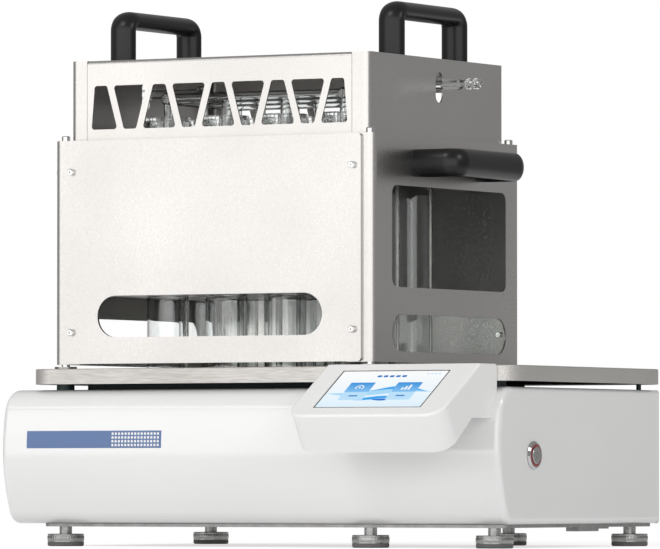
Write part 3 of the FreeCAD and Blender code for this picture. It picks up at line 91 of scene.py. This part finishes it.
def value_range(tree, value, low, high, from_low=0.3, from_high=0.7):
    node = tree.nodes.new("ShaderNodeMapRange")
    socket(node, "From Min", from_low)
    socket(node, "From Max", from_high)
    socket(node, "To Min", low)
    socket(node, "To Max", high)
    tree.links.new(value, node.inputs["Value"])
    return node.outputs["Result"]


def colour_between(tree, factor, first, second):
    mix = tree.nodes.new("ShaderNodeMix")
    mix.data_type = "RGBA"
    mix.inputs[6].default_value = (*first, 1.0)
    mix.inputs[7].default_value = (*second, 1.0)
    tree.links.new(factor, mix.inputs[0])
    return mix.outputs[2]


def bump(tree, shader, height, strength, distance):
    node = tree.nodes.new("ShaderNodeBump")
    socket(node, "Strength", strength)
    socket(node, "Distance", distance)
    tree.links.new(height, node.inputs["Height"])
    tree.links.new(node.outputs["Normal"], shader.inputs["Normal"])


def grained(name, dark, light, roughness, metallic, grain, stretch=(1, 1, 1), relief=0.05,
            depth=0.0002, spread=0.08, specular=0.5, blotch=6.0):
    """A surface whose colour, sheen and relief follow a fine grain and a slow drift."""
    material, shader = new_material(name, light, roughness, metallic, specular)
    tree = material.node_tree
    vector = object_place(tree, stretch)
    fine = noise_texture(tree, vector, grain, 3.0, 0.6)
    slow = noise_texture(tree, object_place(tree, (1, 1, 1)), blotch, 2.0)
    both = tree.nodes.new("ShaderNodeMath")
    both.operation = "MULTIPLY_ADD"
    both.inputs[1].default_value = 0.75
    tree.links.new(fine, both.inputs[0])
    quarter = value_range(tree, slow, 0.0, 0.25, 0.2, 0.8)
    tree.links.new(quarter, both.inputs[2])
    tree.links.new(colour_between(tree, value_range(tree, both.outputs[0], 0, 1), dark, light),
                   shader.inputs["Base Color"])
    tree.links.new(value_range(tree, both.outputs[0], roughness + spread / 2, roughness - spread / 2),
                   shader.inputs["Roughness"])
    bump(tree, shader, fine, relief, depth)
    return material


def plain_glass(name, colour, roughness=0.0, ior=1.47):
    material, shader = new_material(name, colour, roughness)
    socket(shader, "Transmission Weight", 1.0)
    socket(shader, "IOR", ior)
    tree = material.node_tree
    slow = noise_texture(tree, object_place(tree, (1, 1, 0.2)), 30.0, 2.0)
    bump(tree, shader, slow, 0.03, 0.0003)
    return material


def glowing(name, colour, strength, roughness=0.35, specular=0.12):
    """A lit colour: a third of it as paint, so that room light doesn't wash it out."""
    paint = tuple(c * UNLIT_SHARE for c in colour)
    material, shader = new_material(name, paint, roughness, 0.0, specular)
    socket(shader, "Emission Color", (*colour, 1.0))
    socket(shader, "Emission Strength", strength)
    tree = material.node_tree
    fine = noise_texture(tree, object_place(tree, (1, 1, 1)), 900.0, 2.0)
    tint = tuple(c * 0.94 for c in paint)
    tree.links.new(colour_between(tree, value_range(tree, fine, 0, 1), tint, paint),
                   shader.inputs["Base Color"])
    return material


UNLIT_SHARE = 0.35
materials = {
    "white_paint": grained("white_paint", (0.76, 0.76, 0.76), (0.81, 0.81, 0.81), 0.11, 0.0, 1300.0,
                           relief=0.08, spread=0.03, specular=0.95),
    "white_plastic": grained("white_plastic", (0.83, 0.83, 0.83), (0.88, 0.88, 0.88), 0.30, 0.0, 1500.0,
                             relief=0.14, spread=0.05),
    "dark_sheet": grained("dark_sheet", (0.012, 0.026, 0.028), (0.024, 0.044, 0.047), 0.5, 0.0, 900.0),
    "brushed_tray": grained("brushed_tray", (0.42, 0.405, 0.39), (0.62, 0.605, 0.585), 0.52, 1.0, 55.0,
                            stretch=(1.0, 12.0, 22.0), relief=0.10, spread=0.10),
    "blasted_steel": grained("blasted_steel", (0.44, 0.429, 0.418), (0.53, 0.517, 0.503), 0.30, 1.0, 1000.0,
                             relief=0.26, spread=0.08),
    "turned_steel": grained("turned_steel", (0.46, 0.46, 0.455), (0.62, 0.62, 0.61), 0.13, 1.0, 60.0,
                            stretch=(1.0, 1.0, 30.0), relief=0.06),
    "zinc_steel": grained("zinc_steel", (0.22, 0.22, 0.215), (0.33, 0.33, 0.325), 0.24, 1.0, 300.0,
                          relief=0.04),
    "bright_chrome": grained("bright_chrome", (0.40, 0.40, 0.40), (0.52, 0.52, 0.52), 0.08, 1.0, 400.0,
                             relief=0.02, spread=0.04),
    "pale_screw": grained("pale_screw", (0.70, 0.70, 0.69), (0.82, 0.82, 0.81), 0.24, 1.0, 400.0,
                          relief=0.03),
    "galvanised_sheet": grained("galvanised_sheet", (0.21, 0.207, 0.204), (0.29, 0.286, 0.282), 0.42, 1.0,
                                90.0),
    # Near-black with a teal tint: partly the board's own dark colour, partly painted shade that copies the
    # shadow in the gap under the tray
    "insulation_board": grained("insulation_board", (0.008, 0.016, 0.018), (0.020, 0.032, 0.034), 0.75, 0.0,
                                500.0, relief=0.3),
    "ceramic_fibre": grained("ceramic_fibre", (0.70, 0.69, 0.65), (0.84, 0.83, 0.79), 0.95, 0.0, 350.0,
                             relief=0.6, depth=0.001),
    "graphite": grained("graphite", (0.020, 0.020, 0.021), (0.045, 0.045, 0.047), 0.42, 0.3, 500.0,
                        relief=0.15),
    "heater_metal": grained("heater_metal", (0.44, 0.44, 0.44), (0.56, 0.56, 0.56), 0.42, 1.0, 300.0),
    "circuit_board": grained("circuit_board", (0.02, 0.14, 0.06), (0.03, 0.22, 0.10), 0.35, 0.0, 260.0),
    "black_plastic": grained("black_plastic", (0.012, 0.012, 0.012), (0.024, 0.024, 0.024), 0.45, 0.0,
                             1200.0, relief=0.2),
    "black_grip": grained("black_grip", (0.005, 0.005, 0.006), (0.010, 0.010, 0.011), 0.30, 0.0, 1400.0,
                          relief=0.08, specular=0.28),
    "grey_cap": grained("grey_cap", (0.30, 0.30, 0.295), (0.38, 0.38, 0.375), 0.32, 1.0, 500.0, relief=0.05),
    "lit_ring": grained("lit_ring", (0.20, 0.010, 0.010), (0.32, 0.018, 0.016), 0.35, 0.0, 300.0),
    "screen_glass": grained("screen_glass", (0.035, 0.036, 0.040), (0.045, 0.046, 0.050), 0.12, 0.0, 300.0,
                            relief=0.0),
    "foot_rubber": grained("foot_rubber", (0.09, 0.09, 0.088), (0.14, 0.14, 0.137), 0.8, 0.0, 700.0,
                           relief=0.4),
    "clear_glass": plain_glass("clear_glass", (0.96, 0.975, 0.97)),
}
node_slots = {entry["node"]: entry["material_slot"] for entry in frame["record"]["subparts"]}
# The rack's screws are paler than the other zinc plated pieces
for name, obj in nodes.items():
    obj.data.materials.clear()
    obj.data.materials.append(materials["pale_screw" if name == "rack_screws" else node_slots[name]])


# Mesh helpers

def finish_mesh(name, mesh_data, material, body, smooth=True):
    obj = bpy.data.objects.new(name, mesh_data)
    bpy.context.scene.collection.objects.link(obj)
    mesh_data.materials.append(material)
    if smooth:
        for polygon in mesh_data.polygons:
            polygon.use_smooth = True
    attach(obj, body)
    return obj


def mesh_from(vertices, faces, name):
    data = bpy.data.meshes.new(name)
    data.from_pydata([tuple(v) for v in vertices], [], faces)
    data.update()
    return data


# Screen: a row of blank blocks, two cards with simple marks and soft waves, in thin layers on the glass

TILT = math.radians(31.2)
SCREEN_W = 118.6
SCREEN_H = 70.5
# The y and z of the upper edge of the display's face
FACE_TOP = (-193.0, 178.3)
SCREEN_MIDDLE_X = 187.4
SCREEN_MARGIN = 11.8
SCREEN_SINK = 0.3
FIRST_LIFT = 0.05
LIFT_STEP = 0.02


def screen_point(u, v, lift):
    """u across from the left edge, v down from the top edge, lift above the glass, all in mm."""
    down = SCREEN_MARGIN + v
    out = lift - SCREEN_SINK
    x = SCREEN_MIDDLE_X - SCREEN_W / 2 + u
    y = FACE_TOP[0] - down * math.cos(TILT) - out * math.sin(TILT)
    z = FACE_TOP[1] - down * math.sin(TILT) + out * math.cos(TILT)
    return at(x, y, z)


def layer_lift(layer):
    return FIRST_LIFT + LIFT_STEP * layer


def screen_piece(name, outline, layer, material):
    vertices = [screen_point(u, v, layer_lift(layer)) for u, v in outline]
    data = mesh_from(vertices, [list(reversed(range(len(vertices))))], name)
    return finish_mesh(name, data, material, "base", smooth=False)


def rounded_outline(u0, v0, u1, v1, radius, steps=5):
    points = []
    for cu, cv, start in ((u1 - radius, v0 + radius, -90), (u1 - radius, v1 - radius, 0),
                          (u0 + radius, v1 - radius, 90), (u0 + radius, v0 + radius, 180)):
        for k in range(steps + 1):
            a = math.radians(start + 90 * k / steps)
            points.append((cu + radius * math.cos(a), cv + radius * math.sin(a)))
    return points


def gradient_glow(name, top, bottom, v_top, v_bottom, strength):
    """A lit colour that runs from top to bottom of the screen, along the height of the part."""
    material, shader = new_material(name, top, 0.3, 0.0, 0.12)
    tree = material.node_tree
    coordinates = tree.nodes.new("ShaderNodeTexCoord")
    split = tree.nodes.new("ShaderNodeSeparateXYZ")
    tree.links.new(coordinates.outputs["Object"], split.inputs[0])
    factor = value_range(tree, split.outputs["Z"], 1.0, 0.0,
                         screen_point(0, v_bottom, 0).z, screen_point(0, v_top, 0).z)
    unlit_top = tuple(c * UNLIT_SHARE for c in top)
    unlit_bottom = tuple(c * UNLIT_SHARE for c in bottom)
    tree.links.new(colour_between(tree, factor, unlit_top, unlit_bottom), shader.inputs["Base Color"])
    tree.links.new(colour_between(tree, factor, top, bottom), shader.inputs["Emission Color"])
    socket(shader, "Emission Strength", strength)
    return material


GLOW = 0.64
EDGE = 1.4
sky = gradient_glow("screen_sky", (1.0, 1.0, 1.0), (0.74, 0.89, 1.0), 0, SCREEN_H, GLOW)
screen_piece("screen_background", rounded_outline(EDGE, EDGE, SCREEN_W - EDGE, SCREEN_H - EDGE, 1.0), 0, sky)
pale_wave = glowing("screen_pale_wave", (0.40, 0.71, 0.96), GLOW)
mid_wave = glowing("screen_mid_wave", (0.03, 0.38, 0.88), GLOW)
deep_wave = glowing("screen_deep_wave", (0.0, 0.14, 0.66), GLOW)


def wave_outline(u0, u1, middle, rise, thick, turns, phase, steps=36):
    upper = []
    lower = []
    for k in range(steps + 1):
        t = k / steps
        u = u0 + (u1 - u0) * t
        swell = math.sin(math.pi * t)
        v = middle + rise * math.sin(turns * 2 * math.pi * t + phase)
        upper.append((u, v - thick * swell))
        lower.append((u, v + thick * swell * 0.7))
    return upper + list(reversed(lower))[1:-1]


screen_piece("screen_wave_1", wave_outline(1.5, SCREEN_W - 1.5, 42.0, 3.4, 6.0, 0.9, 0.4), 1, pale_wave)
screen_piece("screen_wave_2", wave_outline(48.0, SCREEN_W - 8.0, 37.0, 4.0, 3.2, 0.7, 2.6), 2, mid_wave)
screen_piece("screen_wave_3", wave_outline(30.0, 88.0, 53.0, 2.2, 3.2, 0.8, 0.9), 2, mid_wave)
screen_piece("screen_wave_4", wave_outline(56.0, 84.0, 54.5, 1.4, 2.2, 0.6, 0.3), 3, deep_wave)

CARD_W = 27.0
CARD_TOP = 23.0
CARD_MIDDLE = 41.0
CARD_BOTTOM = 56.0
CARD_ROUND = 1.2
CARD_LINE_START = 8.5
CARD_LINE_W = 10.0
CARD_LINE_TOP = 47.0
CARD_LINE_H = 2.2
CARD_LAYER = 4
MARK_LAYER = 6
card_top = gradient_glow("screen_card_top", (0.0, 0.25, 0.70), (0.22, 0.54, 0.90), 21.0, CARD_MIDDLE, GLOW)
card_low = glowing("screen_card_low", (0.50, 0.77, 0.98), GLOW)
white_mark = glowing("screen_white_mark", (0.95, 0.98, 1.0), GLOW)
blue_mark = glowing("screen_blue_mark", (0.0, 0.17, 0.55), GLOW)
for side, u0 in (("left", 20.0), ("right", 72.0)):
    u1 = u0 + CARD_W
    line_u = u0 + CARD_LINE_START
    whole = rounded_outline(u0, CARD_TOP, u1, CARD_BOTTOM, CARD_ROUND)
    upper = rounded_outline(u0, CARD_TOP, u1, CARD_MIDDLE, CARD_ROUND)
    line = rounded_outline(line_u, CARD_LINE_TOP, line_u + CARD_LINE_W, CARD_LINE_TOP + CARD_LINE_H, 1.0)
    screen_piece("screen_card_%s_low" % side, whole, CARD_LAYER, card_low)
    screen_piece("screen_card_%s_top" % side, upper, CARD_LAYER + 1, card_top)
    screen_piece("screen_card_%s_line" % side, line, MARK_LAYER, blue_mark)


def ring_faces(name, u, v, outer, inner, material, start=0.0, sweep=360.0, steps=28):
    """A ring, or part of one, in the layer of the marks. Start and sweep are in degrees from the top."""
    lift = layer_lift(MARK_LAYER)
    vertices = []
    for k in range(steps + 1):
        a = math.radians(start + sweep * k / steps)
        vertices.append(screen_point(u + outer * math.sin(a), v - outer * math.cos(a), lift))
        vertices.append(screen_point(u + inner * math.sin(a), v - inner * math.cos(a), lift))
    faces = [[2 * k, 2 * k + 1, 2 * k + 3, 2 * k + 2] for k in range(steps)]
    data = mesh_from(vertices, faces, name)
    return finish_mesh(name, data, material, "base", smooth=False)


def block_row(name, count, u0, pitch, width, v0, v1, radius, material):
    """Equal rounded blocks side by side."""
    for k in range(count):
        u = u0 + pitch * k
        block = rounded_outline(u, v0, u + width, v1, radius)
        screen_piece("%s_%d" % (name, k + 1), block, CARD_LAYER, material)


DIAL_U = 33.5
DIAL_V = 32.5
ring_faces("screen_dial_mark", DIAL_U, DIAL_V, 4.6, 3.4, white_mark, start=-130, sweep=260)
ring_faces("screen_dial_dot", DIAL_U, DIAL_V, 1.3, 0.0, white_mark, steps=16)

BARS_U = 80.6
BARS_FOOT = 37.0
BAR_PITCH = 3.6
BAR_W = 2.3
for k, height in enumerate((4.0, 6.6, 9.2)):
    u = BARS_U + BAR_PITCH * k
    bar = rounded_outline(u, BARS_FOOT - height, u + BAR_W, BARS_FOOT, 0.5)
    screen_piece("screen_bar_mark_%d" % (k + 1), bar, MARK_LAYER, white_mark)
block_row("screen_title_mark", 5, 43.2, 6.8, 5.0, 9.4, 13.0, 1.2, blue_mark)
block_row("screen_status_mark", 4, 96.0, 4.2, 2.6, 6.0, 8.0, 0.8, card_low)


# Blue bar with a dot grid on the curved front, and nothing else on it

# Arc of the bulged face: its radius, its foremost y and the height where that lies
FRONT_RADIUS = 165.0
FRONT_Y = -175.4
FRONT_LEVEL = 98.0
BAR_LIFT = 0.06
DOT_LIFT = 0.12
BAR_LEFT = -253.2
BAR_RIGHT = -95.9
BAR_LOW = 98.0
BAR_HIGH = 115.3
GRID_LEFT = -153.6
GRID_WIDTH = 55.0
GRID_LOW = 99.8
GRID_HEIGHT = 13.6
DOTS_X = 15
DOTS_Z = 4
DOT = 2.3


def front_point(x, z, lift):
    """A point lift mm in front of the base's bulged face."""
    angle = math.asin((z - FRONT_LEVEL) / FRONT_RADIUS)
    radius = FRONT_RADIUS + lift
    return at(x, FRONT_Y + FRONT_RADIUS - radius * math.cos(angle), FRONT_LEVEL + radius * math.sin(angle))


def front_patch(name, x0, x1, z0, z1, lift, material, rows=4):
    vertices = []
    for k in range(rows + 1):
        z = z0 + (z1 - z0) * k / rows
        vertices += [front_point(x0, z, lift), front_point(x1, z, lift)]
    faces = [[2 * k, 2 * k + 1, 2 * k + 3, 2 * k + 2] for k in range(rows)]
    return finish_mesh(name, mesh_from(vertices, faces, name), material, "base")


bar_ink = grained("bar_ink", (0.092, 0.162, 0.338), (0.110, 0.180, 0.365), 0.4, 0.0, 1200.0)
dot_ink = grained("dot_ink", (0.78, 0.78, 0.79), (0.84, 0.84, 0.84), 0.4, 0.0, 1200.0)
front_patch("front_bar", BAR_LEFT, BAR_RIGHT, BAR_LOW, BAR_HIGH, BAR_LIFT, bar_ink)
grid_vertices = []
grid_faces = []
for i in range(DOTS_X):
    for j in range(DOTS_Z):
        x = GRID_LEFT + (GRID_WIDTH - DOT) * i / (DOTS_X - 1)
        z = GRID_LOW + (GRID_HEIGHT - DOT) * j / (DOTS_Z - 1)
        n = len(grid_vertices)
        for corner_x, corner_z in ((x, z), (x + DOT, z), (x + DOT, z + DOT), (x, z + DOT)):
            grid_vertices.append(front_point(corner_x, corner_z, DOT_LIFT))
        grid_faces.append([n, n + 1, n + 2, n + 3])
finish_mesh("front_dot_grid", mesh_from(grid_vertices, grid_faces, "front_dot_grid"), dot_ink, "base",
            smooth=False)


# Levelling feet: a milled rim round each disc

RIM_LOW = 1.6
RIM_HIGH = 6.4
RIM_EDGE = 0.4
RIM_TEETH = 44
RIM_RELIEF = 0.30
RIM_SINK = 0.02
STEPS_PER_TOOTH = 4


def milled_rim(name, body, node):
    """A band of fine upright ridges, which fade out at its lower and upper edges."""
    low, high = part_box(node)
    cx = (low.x + high.x) / 2
    cy = (low.y + high.y) / 2
    radius = (high.x - low.x) / 2
    z0 = low.z + RIM_LOW * MM
    z1 = low.z + RIM_HIGH * MM
    edge = RIM_EDGE * MM
    steps = RIM_TEETH * STEPS_PER_TOOTH
    vertices = []
    for z, grow in ((z0, RIM_SINK), (z0 + edge, RIM_RELIEF), (z1 - edge, RIM_RELIEF), (z1, RIM_SINK)):
        for k in range(steps):
            a = 2 * math.pi * k / steps
            wave = 0.5 + 0.5 * math.cos(RIM_TEETH * a)
            r = radius + (grow * wave - RIM_SINK) * MM
            vertices.append(Vector((cx + r * math.cos(a), cy + r * math.sin(a), z)))
    faces = []
    for ring in range(3):
        lower = ring * steps
        upper = lower + steps
        for k in range(steps):
            m = (k + 1) % steps
            faces.append([lower + k, lower + m, upper + m, upper + k])
    finish_mesh(name, mesh_from(vertices, faces, name), materials["zinc_steel"], body)


for n in range(1, 7):
    milled_rim("foot_%d_milled_rim" % n, "foot_%d" % n, "foot_%d_post" % n)


# Power symbol on the button's cap, a plain ring and stroke

CAP_MARK_LIFT = 0.03
CAP_RING_OUTER = 3.0
CAP_RING_INNER = 2.4
CAP_RING_GAP = 70.0
STROKE_HALF = 0.3
STROKE_LOW = 0.6
STROKE_HIGH = 3.5


def cap_mark():
    cap_low, cap_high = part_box("button_cap")
    x = cap_high.x + CAP_MARK_LIFT * MM
    cy = (cap_low.y + cap_high.y) / 2
    cz = (cap_low.z + cap_high.z) / 2
    vertices = []
    faces = []
    steps = 24
    for k in range(steps + 1):
        a = math.radians(CAP_RING_GAP / 2 + (360 - CAP_RING_GAP) * k / steps)
        for r in (CAP_RING_OUTER, CAP_RING_INNER):
            vertices.append(Vector((x, cy + r * MM * math.sin(a), cz + r * MM * math.cos(a))))
    for k in range(steps):
        faces.append([2 * k, 2 * k + 1, 2 * k + 3, 2 * k + 2])
    n = len(vertices)
    for dy, dz in ((-STROKE_HALF, STROKE_LOW), (STROKE_HALF, STROKE_LOW),
                   (STROKE_HALF, STROKE_HIGH), (-STROKE_HALF, STROKE_HIGH)):
        vertices.append(Vector((x, cy + dy * MM, cz + dz * MM)))
    faces.append([n, n + 1, n + 2, n + 3])
    mark = grained("cap_mark_ink", (0.10, 0.10, 0.10), (0.14, 0.14, 0.14), 0.5, 0.0, 900.0)
    finish_mesh("button_cap_mark", mesh_from(vertices, faces, "button_cap_mark"), mark, "power_button",
                smooth=False)


cap_mark()


# Floor, world and lamps

FLOOR_HALF = 1.3
FLOOR_GREY = 0.68
# What the floor gives off: to the rays that show it as background, and as soft light on the object
FLOOR_WHITE = 0.60
FLOOR_GLOW = 0.14
floor_data = mesh_from([(-FLOOR_HALF, -FLOOR_HALF, 0), (FLOOR_HALF, -FLOOR_HALF, 0),
                        (FLOOR_HALF, FLOOR_HALF, 0), (-FLOOR_HALF, FLOOR_HALF, 0)], [[0, 1, 2, 3]], "floor")
floor = bpy.data.objects.new("floor", floor_data)
bpy.context.scene.collection.objects.link(floor)
floor_material, floor_shader = new_material("floor", (FLOOR_GREY, FLOOR_GREY, FLOOR_GREY), 0.9, 0.0, 0.0)


def joined(tree, operation, first, second):
    node = tree.nodes.new("ShaderNodeMath")
    node.operation = operation
    tree.links.new(first, node.inputs[0])
    tree.links.new(second, node.inputs[1])
    return node.outputs[0]


def background_ray(tree, with_glossy):
    """1 for the rays that show the white background, else 0. Without glossy, none that came off a gloss."""
    path = tree.nodes.new("ShaderNodeLightPath")
    seen = joined(tree, "MAXIMUM", path.outputs["Is Camera Ray"], path.outputs["Is Transmission Ray"])
    if with_glossy:
        return joined(tree, "MAXIMUM", seen, path.outputs["Is Glossy Ray"])
    before_gloss = value_range(tree, path.outputs["Glossy Depth"], 1.0, 0.0, 0.0, 1.0)
    return joined(tree, "MULTIPLY", seen, before_gloss)


socket(floor_shader, "Emission Color", (1.0, 1.0, 1.0, 1.0))
floor_tree = floor_material.node_tree
floor_light = value_range(floor_tree, background_ray(floor_tree, True), FLOOR_GLOW, FLOOR_WHITE, 0.0, 1.0)
floor_tree.links.new(floor_light, floor_shader.inputs["Emission Strength"])
floor_data.materials.append(floor_material)

world = bpy.data.worlds.new("studio")
bpy.context.scene.world = world
world.use_nodes = True
tree = world.node_tree
tree.nodes.clear()
output = tree.nodes.new("ShaderNodeOutputWorld")
studio = tree.nodes.new("ShaderNodeBackground")
white = tree.nodes.new("ShaderNodeBackground")
white.inputs["Color"].default_value = (1, 1, 1, 1)
white.inputs["Strength"].default_value = 1.0
mix = tree.nodes.new("ShaderNodeMixShader")
tree.links.new(background_ray(tree, False), mix.inputs["Fac"])
tree.links.new(studio.outputs[0], mix.inputs[1])
tree.links.new(white.outputs[0], mix.inputs[2])
tree.links.new(mix.outputs[0], output.inputs["Surface"])
coordinates = tree.nodes.new("ShaderNodeTexCoord")
direction = tree.nodes.new("ShaderNodeSeparateXYZ")
tree.links.new(coordinates.outputs["Generated"], direction.inputs[0])
# The band's middle lies a little to the right of the front
BAND_DIRECTION = (0.113, -0.994, 0.0)
frontness = tree.nodes.new("ShaderNodeVectorMath")
frontness.operation = "DOT_PRODUCT"
frontness.inputs[1].default_value = BAND_DIRECTION
tree.links.new(coordinates.outputs["Generated"], frontness.inputs[0])


def smooth_between(tree, value, from_low, from_high, low, high):
    """A soft step from low, a number or another node's output, to high."""
    node = tree.nodes.new("ShaderNodeMapRange")
    node.interpolation_type = "SMOOTHSTEP"
    socket(node, "From Min", from_low)
    socket(node, "From Max", from_high)
    socket(node, "To Max", high)
    if isinstance(low, float):
        socket(node, "To Min", low)
    else:
        tree.links.new(low, node.inputs["To Min"])
    tree.links.new(value, node.inputs["Value"])
    return node.outputs["Result"]


# A low bright band in front of the object, dark behind it and beside it, even above it
BACK_LEVEL = 0.40
BAND_LEVEL = 2.18
UPPER_LEVEL = 0.44
BAND_SIDE_START = 0.57
BAND_SIDE_END = 0.67
BAND_TOP_START = 0.345
BAND_TOP_END = 0.375
around = smooth_between(tree, frontness.outputs["Value"], BAND_SIDE_START, BAND_SIDE_END, BACK_LEVEL,
                        BAND_LEVEL)
level = smooth_between(tree, direction.outputs["Z"], BAND_TOP_START, BAND_TOP_END, around, UPPER_LEVEL)
tree.links.new(level, studio.inputs["Strength"])
studio.inputs["Color"].default_value = (1.0, 0.995, 0.985, 1.0)


LAMP_AIM = Vector((0, 0, 0.12))


def area_lamp(name, azimuth, elevation, distance, size, radiance):
    """A panel that faces the object: azimuth from the front towards the left, radiance as seen from it."""
    a = math.radians(azimuth)
    e = math.radians(elevation)
    place = Vector((-math.sin(a) * math.cos(e), -math.cos(a) * math.cos(e), math.sin(e))) * distance
    place += LAMP_AIM
    data = bpy.data.lights.new(name, "AREA")
    data.energy = radiance * size[0] * size[1] * math.pi
    data.shape = "RECTANGLE"
    data.size = size[0]
    data.size_y = size[1]
    lamp = bpy.data.objects.new(name, data)
    bpy.context.scene.collection.objects.link(lamp)
    lamp.location = place
    lamp.rotation_euler = (LAMP_AIM - place).to_track_quat("-Z", "Y").to_euler()
    return lamp


area_lamp("front_strip", 30.0, 32.4, 5.0, (1.9, 0.16), 4.0)
area_lamp("key", 20.0, 44.0, 4.0, (1.2, 1.2), 6.0)
area_lamp("side_fill", -75.0, 32.0, 4.5, (1.6, 1.2), 5.6)


# Camera, worked out from the edges of the base, rack and hood

camera_data = bpy.data.cameras.new("camera")
camera_data.sensor_width = 36.0
camera_data.lens = 370.9
camera_data.clip_end = 60.0
camera = bpy.data.objects.new("camera", camera_data)
bpy.context.scene.collection.objects.link(camera)
AZIMUTH = math.radians(29.834)
TILT_UP = math.radians(1.752)
camera.location = at(3397.1, -5930.1, 63.8)
aim = Vector((-math.sin(AZIMUTH) * math.cos(TILT_UP), math.cos(AZIMUTH) * math.cos(TILT_UP),
              math.sin(TILT_UP)))
camera.rotation_euler = aim.to_track_quat("-Z", "Y").to_euler()
bpy.context.scene.camera = camera

bpy.context.scene.view_settings.view_transform = "Standard"
